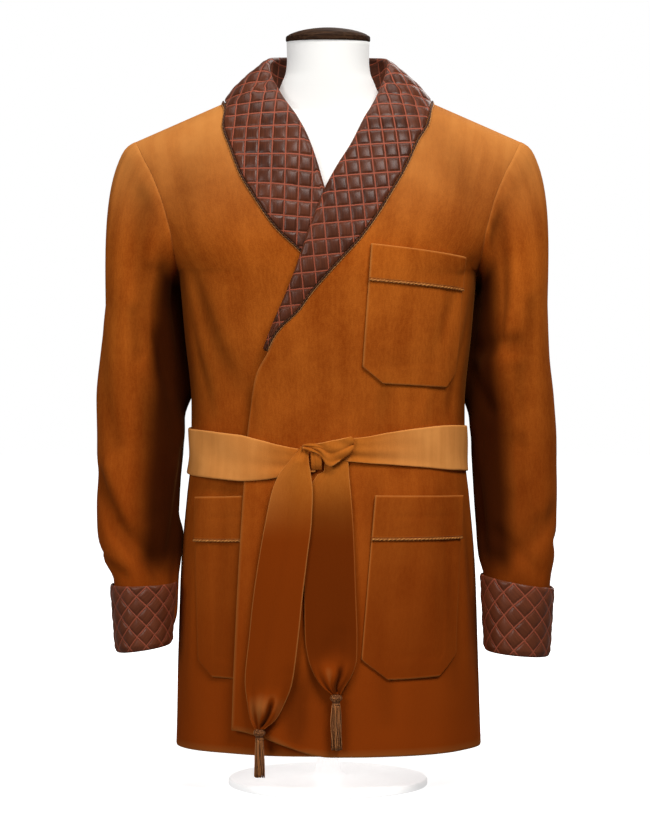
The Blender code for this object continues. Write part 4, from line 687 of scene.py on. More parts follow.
def sleeve_ring(ring, side, turns):
    """One flat ring of a sleeve, squarer than an ellipse."""
    middle = np.array([(ring["inner"] + ring["outer"]) / 2, (ring["front"] + ring["back"]) / 2])
    half = np.array([(ring["outer"] - ring["inner"]) / 2, (ring["back"] - ring["front"]) / 2])
    x = middle[0] + half[0] * squared_off(np.cos(turns), SLEEVE_SQUARENESS)
    y = middle[1] - half[1] * squared_off(np.sin(turns), SLEEVE_SQUARENESS)
    z = np.full_like(x, float(ring["height"]))
    return np.stack([side * x, y, z], axis=-1)


def collar_stations(lapel, side, sink):
    """Roll line, outer edge, stand foot, facing and cling of every station, in table order."""
    rolls, edges, feet, facing, cling = [], [], [], [], []
    lift = QUILT + COLLAR_ROOM[sink]
    for s in NECK_STATIONS:
        row = plain_row(s.edge_height)
        angle = angle_at(s.edge_x, row)
        if s.edge_face > 0:
            angle = math.pi - angle
        rolls.append((s.roll_x, s.roll_y, s.roll_z))
        edges.append(body_point(angle, row, lift)[0])
        feet.append((s.foot_x, s.foot_y, s.foot_z))
        facing.append((0, 0, 0))
        cling.append(0.0)
    for s in lapel:
        depth_roll = under_sink(-s.roll_x, s.roll_z) if sink else 0.0
        depth_edge = under_sink(-s.edge_x, s.edge_z) if sink else 0.0
        roll, normal = front_point(s.roll_x, s.roll_z, -PANEL / 2 - depth_roll)
        rolls.append(roll)
        edges.append(front_point(s.edge_x, s.edge_z, lift - depth_edge)[0])
        feet.append(roll - normal * FOOT_DEPTH)
        facing.append(normal)
        cling.append(1.0)
    mirror = np.array([side, 1, 1])
    return [np.array(v, float) * mirror for v in (rolls, edges, feet, facing)] + [cling]


def resample(stations, positions):
    """Smooth values of the stations' columns at positions along them."""
    index = np.arange(len(stations))
    flat = np.asarray(stations, float).reshape(len(stations), -1)
    columns = [smooth_curve(index, flat[:, k])(positions) for k in range(flat.shape[1])]
    return np.stack(columns, axis=-1).reshape((len(positions),) + np.shape(stations)[1:])


def shoulder_face(x, y):
    """The height of the shoulders' outer face and its outward direction."""
    top = body_top(x, y, DENSE_UPPER_ROWS)
    slope_x = (body_top(x + SLOPE_STEP, y, DENSE_UPPER_ROWS) - top) / SLOPE_STEP
    slope_y = (body_top(x, y + SLOPE_STEP, DENSE_UPPER_ROWS) - top) / SLOPE_STEP
    return top, unit(np.stack([-slope_x, -slope_y, np.ones_like(top)], axis=-1))


def height_over_body(x, y, lift):
    """The height of a point that lies off the shoulders' outer face by lift."""
    top, facing = shoulder_face(x, y)
    return top + lift * np.minimum(1 / facing[..., 2], STEEPEST)


def body_top(x, y, rows=UPPER_ROWS):
    """The height of the jacket's outer face above points between the shoulders."""
    heights = BODY_AT["height"](rows)
    found = []
    for a, b in zip(np.ravel(x), np.ravel(y)):
        depth = BODY_AT["back"](rows) if b > 0 else BODY_AT["front"](rows)
        part = np.clip(np.abs(a) / BODY_AT["half_width"](rows), 0, 1)
        reach = depth * (1 - part ** SQUARENESS) ** (1 / SQUARENESS)
        found.append(np.interp(-abs(b), -reach, heights - shoulder_slope(a, heights)))
    return np.array(found).reshape(np.shape(x))


def form_loops():
    """Rings of the torso from its foot, over the shoulders, to the top of the neck."""
    turns = np.linspace(-math.pi, math.pi, FORM_SIDES, endpoint=False)
    front = blend(*FORM_FRONT_BLEND, np.cos(turns))
    plain = FORM_BACK_INSET + (FORM_FRONT_INSET - FORM_BACK_INSET) * front
    loops = []
    for row in FORM_ROWS:
        at = np.full(FORM_SIDES, float(row))
        thin = blend(FORM_THIN_FROM, FORM_THIN_TO, row)
        inset = plain * (1 - thin) + FORM_SHOULDER_INSET * thin
        near_neck = 1 - blend(FORM_NECK_FROM, FORM_NECK_TO, np.abs(ring_point(turns, at)[:, 0]))
        inset = inset + FORM_NECK_INSET * near_neck * thin
        points = ring_point(turns, at) - ring_normal(turns, at) * inset[:, None]
        soft = FORM_ARM_CUT - FORM_ARM_ROUND
        wide = np.abs(points[:, 0])
        held = FORM_ARM_CUT - FORM_ARM_ROUND * np.exp(-(wide - soft) / FORM_ARM_ROUND)
        points[:, 0] = np.sign(points[:, 0]) * np.where(wide > soft, held, wide)
        loops.append(points)
    for half_width, half_depth, middle in SHOULDER_LOOPS:
        x = half_width * squared_off(np.sin(turns), SQUARENESS)
        y = middle - half_depth * squared_off(np.cos(turns), SQUARENESS)
        near_neck = 1 - blend(FORM_NECK_FROM, FORM_NECK_TO, np.abs(x))
        inset = FORM_TOP_INSET + FORM_TOP_ROUND * (y / half_depth) ** 2
        z = body_top(x, y) - inset - FORM_NECK_INSET * near_neck
        loops.append(np.stack([x, y, z], axis=-1))
    for half_width, half_depth, height in NECK_LOOPS:
        x = half_width * np.sin(turns)
        y = NECK_MIDDLE - half_depth * np.cos(turns)
        loops.append(np.stack([x, y, np.full_like(x, height)], axis=-1))
    foot = loops[0] * np.array([1, 1, 0]) + np.array([0, 0, FORM_BOTTOM])
    foot = foot * np.array([FORM_FOOT_SHARE, FORM_FOOT_SHARE, 1])
    return [foot] + loops


def fold_depth_at(degrees, height):
    """Depth of the body's folds, which run along straight lines over the cloth laid flat."""
    total = np.zeros(np.broadcast(degrees, height).shape)
    scale = math.radians(1) * BODY_RADIUS
    for fold in FOLDS:
        across = (degrees - fold.angle_from + 180) % 360 - 180
        a, b = across * scale, height - fold.height_from
        x = (fold.angle_to - fold.angle_from) * scale
        y = fold.height_to - fold.height_from
        near = np.clip((a * x + b * y) / (x * x + y * y), 0, 1)
        away = np.hypot(a - near * x, b - near * y)
        taper = FOLD_ENDS + (1 - FOLD_ENDS) * np.sin(math.pi * np.clip(near, 0.02, 0.98))
        total = total + fold.depth * taper * hump(away, 0, fold.width)
    return total


def body_point(angle, row, lift=0.0):
    """A point of the jacket's outer face, moved out by lift, and its outward direction."""
    angle, row = np.broadcast_arrays(np.asarray(angle, float), np.asarray(row, float))
    normal = ring_normal(angle, row)
    ridge = (row > TOP_ROW - SMALL_CLIMB / 2)[..., None]
    normal = np.where(ridge, unit(normal * (1, 0, 1)), normal)
    height = BODY_AT["height"](row)
    fold = gather_depth(angle, height) + fold_depth_at(np.degrees(angle), height)
    near_hem = blend(HEM_REACH, 0, height - BODY[0].height)
    for count, phase, depth in HEM_WAVES:
        fold = fold + depth * near_hem * (1 + np.sin(count * angle + phase))
    out = np.asarray(lift) - fold
    return ring_point(angle, row) + normal * out[..., None], normal


def shares(count, edge):
    """Even shares from 0 to 1, with one more line close to each end for a rounded rim."""
    even = np.linspace(0, 1, count + 1)
    return np.concatenate([[0, edge], even[1:-1], [1 - edge, 1]])


def turning(outer):
    """How far each point of a grid is thickened by the cloth that is turned in at its edges."""
    total = np.zeros(outer.shape[:2])
    for axis in (0, 1):
        steps = np.linalg.norm(np.diff(outer, axis=axis), axis=2)
        along = np.insert(np.cumsum(steps, axis=axis), 0, 0, axis=axis)
        for away in (along, np.take(along, [-1], axis=axis) - along):
            total = np.maximum(total, blend(TURNING_WIDTH + TURNING_SOFT, TURNING_WIDTH, away))
    return total * TURNING


def rounded(outer, inner, around):
    """Two faces of a cloth, drawn together along the free edges."""
    outer, inner = outer.copy(), inner.copy()
    middle = (outer + inner) / 2
    ends = [(0, slice(None)), (-1, slice(None))]
    if not around:
        ends += [(slice(None), 0), (slice(None), -1)]
    for place in ends:
        for face in (outer, inner):
            face[place] = face[place] + (middle[place] - face[place]) * RIM_SHARE
    return outer, inner


def quads(rows, columns, around=False):
    """The faces of a grid of points, closed to a tube where it runs around."""
    i = np.arange(rows - 1)[:, None]
    j = np.arange(columns if around else columns - 1)[None, :]
    k = (j + 1) % columns
    a, b = i * columns + j, i * columns + k
    return np.stack([a, b, b + columns, a + columns], axis=-1).reshape(-1, 4)


def solid(name, points, faces, uv, period=None, wear_and_painted_light=None):
    """A closed mesh with its faces turned outward and its UV map in the cloth's own sizes.

    The faces come in groups of like faces. Where the map runs round a tube, period is its step
    from the last line back to the first.
    """
    points = np.asarray(points, float)
    volume = 0.0
    for group in faces:
        for k in range(1, group.shape[1] - 1):
            a, b, c = points[group[:, 0]], points[group[:, k]], points[group[:, k + 1]]
            volume += np.sum(a * np.cross(b, c))
    if volume <= 0:
        faces = [group[:, ::-1] for group in faces]
    plain = [list(map(int, face)) for group in faces for face in group]
    mesh = bpy.data.meshes.new(name)
    mesh.from_pydata(points.tolist(), [], plain)
    loops = len(mesh.loops)
    vertex = np.empty(loops, np.int32)
    mesh.loops.foreach_get("vertex_index", vertex)
    values = np.asarray(uv, float).reshape(-1, 2)[vertex]
    if period is not None:
        sizes = np.array([len(f) for f in plain])
        face_of = np.repeat(np.arange(len(plain)), sizes)
        highest = np.full(len(plain), -np.inf)
        wide = 0 if period[0] else 1
        np.maximum.at(highest, face_of, values[:, wide])
        over = (highest[face_of] - values[:, wide]) > period[wide] / 2
        values = values + over[:, None] * np.array(period)
    layer = mesh.uv_layers.new(name="Cloth")
    layer.data.foreach_set("uv", values.astype(np.float32).ravel())
    mesh.shade_smooth()
    # The Edge attribute carries a painted highlight and painted shade into the velvet's colour
    if wear_and_painted_light is not None:
        mesh.attributes.new("Edge", "FLOAT", "POINT").data.foreach_set("value", wear_and_painted_light)
    made = bpy.data.objects.new(name, mesh)
    bpy.context.collection.objects.link(made)
    return made


def cloth_wall(name, outer, inner, uv, around=False, period=None, painted_shade=0.0):
    """A closed cloth wall between two grids of points with the same rows and columns."""
    rows, columns = outer.shape[:2]
    # The Edge attribute: a painted highlight on the edge lines, less the painted shade
    wear_and_painted_light = np.zeros((rows, columns))
    for line, much in PAINTED_EDGE_HIGHLIGHT:
        wear_and_painted_light[[line, -1 - line]] = much
        if not around:
            wear_and_painted_light[1:-1, [line, -1 - line]] = much
    outer, inner = rounded(outer, inner, around)
    count = rows * columns
    face = quads(rows, columns, around)
    faces = [face, face[:, ::-1] + count]
    j = np.arange(columns if around else columns - 1)
    k = (j + 1) % columns
    faces.append(np.stack([k, j, j + count, k + count], 1))
    a, b = (rows - 1) * columns + j, (rows - 1) * columns + k
    faces.append(np.stack([a, b, b + count, a + count], 1))
    if not around:
        a = np.arange(rows - 1) * columns
        b = a + columns
        faces.append(np.stack([a, b, b + count, a + count], 1))
        a, b = a + columns - 1, b + columns - 1
        faces.append(np.stack([b, a, a + count, b + count], 1))
    points = np.concatenate([outer.reshape(-1, 3), inner.reshape(-1, 3)])
    twice = np.concatenate([uv.reshape(-1, 2), uv.reshape(-1, 2)])
    wear_and_painted_light = np.tile((wear_and_painted_light - painted_shade).ravel(), 2).astype(np.float32)
    return solid(name, points, [np.concatenate(faces)], twice, period, wear_and_painted_light)


def arc_lengths(points):
    """Distance along a route of points."""
    return np.insert(np.cumsum(np.linalg.norm(np.diff(points, axis=0), axis=1)), 0, 0)


def cord_mesh(route, radius, sides, first_point=0):
    """Points, faces and UV of a closed cord; u runs along it in metres and v round it."""
    along = unit(np.gradient(route, axis=0))
    side = np.zeros_like(route)
    side[0] = unit(np.cross(along[0], (0.13, 0.05, 1)))
    for i in range(1, len(route)):
        side[i] = unit(side[i - 1] - along[i] * np.dot(side[i - 1], along[i]))
    other = np.cross(along, side)
    turns = np.linspace(0, 2 * math.pi, sides, endpoint=False)
    radius = np.broadcast_to(radius, len(route))[:, None, None]
    around = (side[:, None] * np.cos(turns)[None, :, None]
              + other[:, None] * np.sin(turns)[None, :, None])
    points = (route[:, None] + radius * around).reshape(-1, 3)
    length = arc_lengths(route)
    uv = np.stack(np.meshgrid(length, turns / (2 * math.pi), indexing="ij"), -1).reshape(-1, 2)
    faces = quads(len(route), sides, True)
    last = (len(route) - 1) * sides
    ends = [np.arange(sides)[::-1][None, :], (last + np.arange(sides))[None, :]]
    return points, [faces + first_point] + [e + first_point for e in ends], uv


def joined_cords(name, cords):
    """One mesh from several cords, each a route, a radius, a number of sides and a colour band."""
    points, uvs, groups, total = [], [], {}, 0
    for route, radius, sides, colour_band in cords:
        made, faces, uv = cord_mesh(route, radius, sides, total)
        uv = uv + np.array([0, colour_band])
        points.append(made)
        uvs.append(uv)
        total += len(made)
        for face in faces:
            groups.setdefault(face.shape[1], []).append(face)
    faces = [np.concatenate(g) for g in groups.values()]
    return solid(name, np.concatenate(points), faces, np.concatenate(uvs), (0.0, 1.0))


def finer(values, count):
    """A table of values drawn out smoothly to count rows."""
    return resample(np.asarray(values, float), np.linspace(0, len(values) - 1, count))


# Grids of the cloth pieces
PANEL_LINES = 150
FRONT_LINES = 78
BACK_LINES = 124
EDGE_LINE = 0.004
ROW_EDGE_LINE = 0.0014
# The back's middle seam lies in a narrow groove
BACK_SEAM_WIDTH = 0.0016
BACK_SEAM_DEPTH = 0.0007

# Painted shade: the pile is painted dark in the troughs of folds, and beside the sleeves
TROUGH_SHADE = 130
TROUGH_DEEPEST = 0.0030
SIDE_SHADE = 0.60


def painted_shade_of_body(angle, height):
    """How dark the body's pile is painted as shade at a place, from 0 to 1."""
    degrees = np.degrees(angle)
    folds = fold_depth_at(degrees, height)
    side = np.abs((degrees + 180) % 360 - 180)
    beside = blend(58, 82, side) * blend(124, 98, side)
    beside = beside * blend(0.40, 0.47, height) * blend(0.80, 0.71, height)
    return np.maximum(TROUGH_SHADE * np.clip(folds, 0, TROUGH_DEEPEST), SIDE_SHADE * beside)


def panel_rows():
    """The rows of a panel, closer where the body's shape changes most."""
    at = shares(PANEL_LINES, ROW_EDGE_LINE) * (len(PANEL_ROWS) - 1)
    return np.interp(at, np.arange(len(PANEL_ROWS)), PANEL_ROWS)


def build_front(name, lapel, side, sink, rise):
    """One front from its free edge to the side seam and the armhole."""
    rows = panel_rows()
    heights = BODY_AT["height"](rows)
    inner_angle = angle_at(opening(lapel, side)(heights), rows)
    outer_angle = side * (armhole_angle(rows) - side_gap(rows))
    share = shares(FRONT_LINES, EDGE_LINE)
    if side < 0:
        share = share[::-1]
    angles = inner_angle[:, None] + (outer_angle - inner_angle)[:, None] * share
    x = ring_point(angles, rows[:, None])[..., 0]
    if rise:
        lift = HEM_RISE * blend(0, HEM_RISE_WIDTH, HEM_RISE_START - x)
        grid_rows = np.stack([raised_rows(rows, rise_here) for rise_here in lift[0]], axis=1)
    else:
        grid_rows = np.repeat(rows[:, None], len(share), axis=1)
    z = BODY_AT["height"](grid_rows)
    depth = under_sink(x, z) if sink else np.zeros_like(x)
    outer, normal = body_point(angles, grid_rows, -depth)
    thick = turning(outer) * blend(*TURNING_END, z)
    uv = np.stack([angles * BODY_RADIUS, z], axis=-1)
    # The body's painted shade in its folds and beside the sleeves goes in with the wall
    return cloth_wall(name, outer + normal * thick[..., None], outer - normal * PANEL, uv,
                      painted_shade=painted_shade_of_body(angles, z))


def build_back(name):
    """The back from side seam to side seam, with the back neckline cut into its top."""
    rows = panel_rows()
    edge = armhole_angle(rows) - side_gap(rows)
    share = 1 - 2 * shares(BACK_LINES, EDGE_LINE / 2)
    angles = math.pi - edge[:, None] * share
    columns = []
    for j in range(len(share)):
        x = ring_point(angles[-1, j], rows[-1])[..., 0]
        top = neckline_row(x)
        start = ARMPIT_ROW + 2
        scale = (top - start) / (TOP_ROW - start)
        columns.append(np.where(rows > start, start + (rows - start) * scale, rows))
    grid_rows = np.stack(columns, axis=1)
    outer, normal = body_point(angles, grid_rows)
    z = BODY_AT["height"](grid_rows)
    thick = turning(outer) * blend(*TURNING_END, z)
    groove = BACK_SEAM_DEPTH * hump((angles - math.pi) * BODY_RADIUS, 0, BACK_SEAM_WIDTH)
    outer = outer + normal * (thick - groove)[..., None]
    uv = np.stack([angles * BODY_RADIUS, z], axis=-1)
    # The body's painted shade in its folds and beside the sleeves goes in with the wall
    return cloth_wall(name, outer, outer - normal * PANEL, uv, painted_shade=painted_shade_of_body(angles, z))


SLEEVE_LINES = 92
CAP_LINES = 26
# Place of the head's second line, as a share of the head
CAP_EDGE_LINE = 0.006
SLEEVE_PITCH = 0.006
# Below the armpit the sleeve's rear inner side lies in behind the body's side: how far, about
# which turn, how wide round the ring, and the heights where it starts and ends
BEHIND = 0.016
BEHIND_TURN = 222
BEHIND_SPREAD = (0.55, 0.95)
BEHIND_LOW = 0.455
BEHIND_SOFT = 0.05
BEHIND_TOP = (0.665, 0.630)
# Beside the skirt the under sleeve's rear is drawn back toward the body
BEHIND_SKIRT = 0.009
BEHIND_SKIRT_TOP = 0.345
BEHIND_SKIRT_SOFT = 0.03
BEHIND_SKIRT_FOOT = (-0.01, 0.03)
# The sleeve's head tucks this far in under the armhole's edge
SLEEVE_TUCK = 0.0006
# The sleeve's head is eased in over a soft roll beside the seam, with fine ripples
ROPE = 0.0012
ROPE_PLACE = 0.10
ROPE_WIDTH = 0.07
ROPE_LEAST = 0.4
RIPPLE = 0.0006
RIPPLES = 23
# Share of the head over which the creases fade in, and heights above the cuff where they end
CREASE_START = (0, 0.26)
CREASE_END = (0.236, 0.290)
# Painted shade: the sleeve's inner side is painted dark from this turn on, later higher up
INNER_SHADE = 0.96
INNER_TURN = 70
INNER_TURN_HIGHER = 28
INNER_TURN_HEIGHTS = (0.44, 0.62)
INNER_SOFT = (0, 46)
INNER_END = (300, 235)
INNER_FOOT = (0.23, 0.30)
# Its lower part gets painted shade too, most on the front and inside
LOWER_HEIGHTS = (0.66, 0.36)
LOWER_TURNS = (40, 120)
SLEEVE_TROUGH_SHARE = 0.6
SLEEVE_TROUGH_DEEPEST = 0.0045


def painted_shade_of_sleeve(turn, height, t, depth, lower_shade):
    """How dark a sleeve is painted as shade, at a share t of its head and a depth of creases."""
    start_turn = INNER_TURN + INNER_TURN_HIGHER * blend(*INNER_TURN_HEIGHTS, height)
    inner_side = (blend(*INNER_SOFT, turn - start_turn) * blend(*INNER_END, turn)
                  * blend(0.0, 0.5, t))
    inner_side = INNER_SHADE * inner_side * blend(*INNER_FOOT, height)
    lower = lower_shade * blend(*LOWER_HEIGHTS, height) * (0.5 + 0.5 * blend(*LOWER_TURNS, turn))
    troughs = TROUGH_SHADE * SLEEVE_TROUGH_SHARE * np.clip(depth, 0, SLEEVE_TROUGH_DEEPEST)
    return np.maximum(np.maximum(inner_side, lower), troughs)


def build_sleeve(name, table, creases, fine, side, lower_shade):
    """A sleeve from the armhole to the wrist, with its creases."""
    columns = columns_of(table, "height")
    turns = np.linspace(0, 2 * math.pi, SLEEVE_LINES, endpoint=False)

    def ring_at(height):
        return sleeve_ring({"height": height, **{k: f(height) for k, f in columns.items()}},
                           side, turns)

    loop, normal, away = armhole_loop(side, SLEEVE_LINES)
    start = loop - away * SLEEVE_TUCK
    top, foot = table[0].height, table[-1].height
    first = ring_at(top)
    outside = (1 + np.cos(turns)) / 2
    reach = UNDERARM_REACH + (CAP_REACH - UNDERARM_REACH) * outside ** CAP_SPREAD
    lean = np.array([side * UNDERARM_OUT, 0.0, UNDERARM_UP]) * UNDERARM_PULL
    leave = unit(away * outside[:, None] + lean * (1 - outside)[:, None])
    steps = np.linspace(0, 1, CAP_LINES, endpoint=False)
    steps = np.insert(steps, 1, CAP_EDGE_LINE)
    grid = []
    for t in steps:
        point = start * ((1 + 2 * t) * (1 - t) ** 2) + first * (t * t * (3 - 2 * t))
        point = point + leave * (reach * t * (1 - t) ** 2)[:, None]
        grid.append(point + np.array([0, 0, 1]) * (reach * CAP_FALL * t * t * (1 - t))[:, None])
    count = int((top - foot) / SLEEVE_PITCH)
    grid += [ring_at(height) for height in np.linspace(top, foot, count)]
    grid = np.array(grid)
    t = np.concatenate([steps, np.ones(count)])[:, None]
    near_body = blend(*BEHIND_SPREAD, np.cos(turns - math.radians(BEHIND_TURN)))
    z = grid[..., 2]
    behind = near_body * blend(BEHIND_LOW, BEHIND_LOW + BEHIND_SOFT, z) * blend(*BEHIND_TOP, z)
    grid[..., 0] -= side * BEHIND * behind
    if side < 0:
        low = near_body * blend(BEHIND_SKIRT_TOP, BEHIND_SKIRT_TOP - BEHIND_SKIRT_SOFT, z)
        above_foot = [foot + rise for rise in BEHIND_SKIRT_FOOT]
        grid[..., 0] += BEHIND_SKIRT * low * blend(*above_foot, z)
    turn = np.degrees(turns)[None, :]
    out = grid_normals(grid, around=True) * side
    depth = crease_depth(creases, turn, grid[..., 2]) + crease_depth(fine, turn, grid[..., 2])
    depth = depth * blend(*CREASE_START, t) * blend(*CREASE_END, grid[..., 2])
    rope = ROPE * hump(t, ROPE_PLACE, ROPE_WIDTH) * (ROPE_LEAST + (1 - ROPE_LEAST) * outside)
    eased = RIPPLE * blend(0, 0.04, t) * blend(0.45, 0.05, t) * np.sin(turns * RIPPLES) * outside
    grid = grid + out * (rope + eased - depth)[..., None]
    out = grid_normals(grid, around=True) * side
    top_share = outside ** CAP_SPREAD
    out[0] = unit(normal * top_share[:, None] - away * (1 - top_share)[:, None])
    uv = np.stack(np.meshgrid(arc_lengths(grid[:, 0]) * -1,
                              turns * SLEEVE_RADIUS, indexing="ij")[::-1], -1)
    # Painted shade on the inner side, on the lower part and in the creases
    painted_shade = painted_shade_of_sleeve(turn, grid[..., 2], t, depth, lower_shade)
    return cloth_wall(name, grid, grid - out * PANEL, uv, around=True,
                      period=(2 * math.pi * SLEEVE_RADIUS, 0.0), painted_shade=painted_shade)


CUFF_LINES = 132
CUFF_ROWS = 42
CUFF_DIAMONDS = 11
CUFF_DIAMOND_HEIGHT = 0.0262
PUFF_POWER = 0.55


def puff(uv, height):
    """How far quilting stands up between its stitched lines, which run at whole numbers."""
    swell = np.abs(np.sin(math.pi * uv[..., 0]) * np.sin(math.pi * uv[..., 1]))
    return height * swell ** PUFF_POWER


def build_cuff(name, cuff, side, height):
    """A quilted cuff, turned back over the sleeve's end and in under it."""
    turns = np.linspace(0, 2 * math.pi, CUFF_LINES, endpoint=False)
    inward = np.cos(turns) * 0.5 + 0.5
    top = cuff.top_inner + (cuff.top_outer - cuff.top_inner) * inward
    low = cuff.low_inner + (cuff.low_outer - cuff.low_inner) * inward

    def ring(shrink, share, lower=0.0):
        shape = {"inner": cuff.inner + shrink, "outer": cuff.outer - shrink,
                 "front": cuff.front + shrink, "back": cuff.back - shrink, "height": 0.0}
        points = sleeve_ring(shape, side, turns)
        points[:, 2] = top + (low - top) * share - lower
        return points

    edge = QUILT + CUFF_ROOM + PANEL / 2
    down = shares(CUFF_ROWS, 0.012)[:-2]
    rows = [ring(cuff.taper * share, share) for share in down]
    raised = list(blend(0, 0.05, down) * blend(1.0, 0.96, down))
    for part in np.linspace(0, math.pi, 9):
        rows.append(ring(cuff.taper + edge * (1 - math.cos(part)), 1.0,
                         edge * CUFF_DROP * math.sin(part)))
        raised.append(0.0)
    deep = CUFF_TURN / (cuff.top_outer - cuff.low_outer)
    for part in (0.5, 0.95, 1.0):
        rows.append(ring(cuff.taper + edge * 2, 1.0 - deep * part))
        raised.append(0.0)
    plain = np.array(rows)
    down_at = arc_lengths(plain[:, 0])
    around_at = turns / (2 * math.pi) * CUFF_DIAMONDS
    h, c = np.meshgrid(down_at / CUFF_DIAMOND_HEIGHT, around_at, indexing="ij")
    uv = np.stack([c + h, c - h], axis=-1)
    out = grid_normals(plain, around=True) * side
    outer = plain + out * (puff(uv, height) * np.array(raised)[:, None])[..., None]
    return cloth_wall(name, outer, plain - out * QUILT, uv, around=True,
                      period=(CUFF_DIAMONDS, CUFF_DIAMONDS))


COLLAR_STATIONS = 230
FALL_LINES = 42
LATTICE_HEIGHT = 0.600
PUFF_EDGE = 0.004
# The lapel narrows to a point over this share of its length
LAPEL_TIP = 0.06
LAPEL_TAPER = 0.13
# The collar is relaxed where its fall turns into the lapel
RELAX_STATIONS = 16
RELAX_PASSES = 60


def lay_down(points, hold, lift, sink, off_limit):
    """Points set down on the body: on the front where held, else no lower than the shoulders."""
    laid = points.copy()
    over = height_over_body(points[:, 0], points[:, 1], lift)
    near = np.abs(points[:, 2] - over) < off_limit
    laid[:, 2] = np.where(near, np.maximum(points[:, 2], over), points[:, 2])
    held = hold[:, 0] > 0
    x, z = points[held, 0], points[held, 2]
    depth = under_sink(x, z) if sink else 0.0
    on_front = front_point(x, z, lift - depth)[0]
    laid[held] = laid[held] * (1 - hold[held]) + on_front * hold[held]
    return laid


def collar_lines(lapel, side, sink):
    """Evenly spaced stations along the roll, with their directions and cling."""
    rolls, edges, feet, facing, cling = collar_stations(lapel, side, sink)
    fine = np.linspace(0, len(rolls) - 1, DENSE)
    steps = np.linalg.norm(np.diff(resample(rolls, fine), axis=0), axis=1)
    edge_steps = np.linalg.norm(np.diff(resample(edges, fine), axis=0), axis=1)
    length = np.concatenate([[0], np.cumsum(np.maximum(steps, EDGE_SHARE * edge_steps))])
    at = np.interp(np.linspace(0, length[-1], COLLAR_STATIONS), length, fine)
    roll, edge, foot, normal = [resample(v, at) for v in (rolls, edges, feet, facing)]
    hold = np.interp(at, np.arange(len(cling)), cling)[:, None]
    held = hold[:, 0] > 0
    x, z = roll[held, 0], roll[held, 2]
    depth = under_sink(x, z) if sink else 0.0
    on_front, facing_front = front_point(x, z, -PANEL / 2 - depth)
    roll[held] = roll[held] * (1 - hold[held]) + on_front * hold[held]
    normal[held] = facing_front
    along = unit(np.gradient(roll, axis=0))
    along[0] = (side, 0, 0)
    out = unit(np.cross(along, unit(edge - roll))) * side
    out = out * (1 - hold) + normal * hold
    out = unit(out - along * np.sum(out * along, axis=1, keepdims=True))
    across = unit(np.cross(out, along)) * side
    to_end = np.linspace(1, 0, len(roll))[:, None]
    edge = roll + (edge - roll) * (LAPEL_TIP + (1 - LAPEL_TIP) * blend(0, LAPEL_TAPER, to_end))
    return roll, edge, foot, out, across, hold


def relaxed(grid, mask):
    """A grid of points made smooth where the mask allows."""
    for _ in range(RELAX_PASSES):
        mean = grid.copy()
        mean[:, 1:-1] = (grid[:, :-2] + grid[:, 2:]) / 2
        mean[1:-1] = mean[1:-1] * 0.75 + (grid[:-2] + grid[2:]) * 0.125
        mean[:1] = grid[:1]
        grid = grid + (mean - grid) * mask
    return grid


def flattened(roll, edge):
    """The strip between two lines laid flat: where its roll and edge points then lie."""
    flat_roll, flat_edge = [np.zeros(2)], [np.array([np.linalg.norm(edge[0] - roll[0]), 0.0])]

    def beyond(a, b, from_a, from_b):
        """The point at these distances from a and b, on the far side of the line between them."""
        line = b - a
        apart = max(np.linalg.norm(line), 1e-9)
        along = (from_a ** 2 - from_b ** 2 + apart ** 2) / (2 * apart)
        off = math.sqrt(max(from_a ** 2 - along ** 2, 0.0))
        unit_line = line / apart
        return a + unit_line * along + np.array([-unit_line[1], unit_line[0]]) * off

    for i in range(1, len(roll)):
        a, b = flat_roll[-1], flat_edge[-1]
        next_roll = beyond(a, b, np.linalg.norm(roll[i] - roll[i - 1]),
                           np.linalg.norm(roll[i] - edge[i - 1]))
        next_edge = beyond(next_roll, b, np.linalg.norm(edge[i] - roll[i]),
                           np.linalg.norm(edge[i] - edge[i - 1]))
        flat_roll.append(next_roll)
        flat_edge.append(next_edge)
    return np.array(flat_roll), np.array(flat_edge)


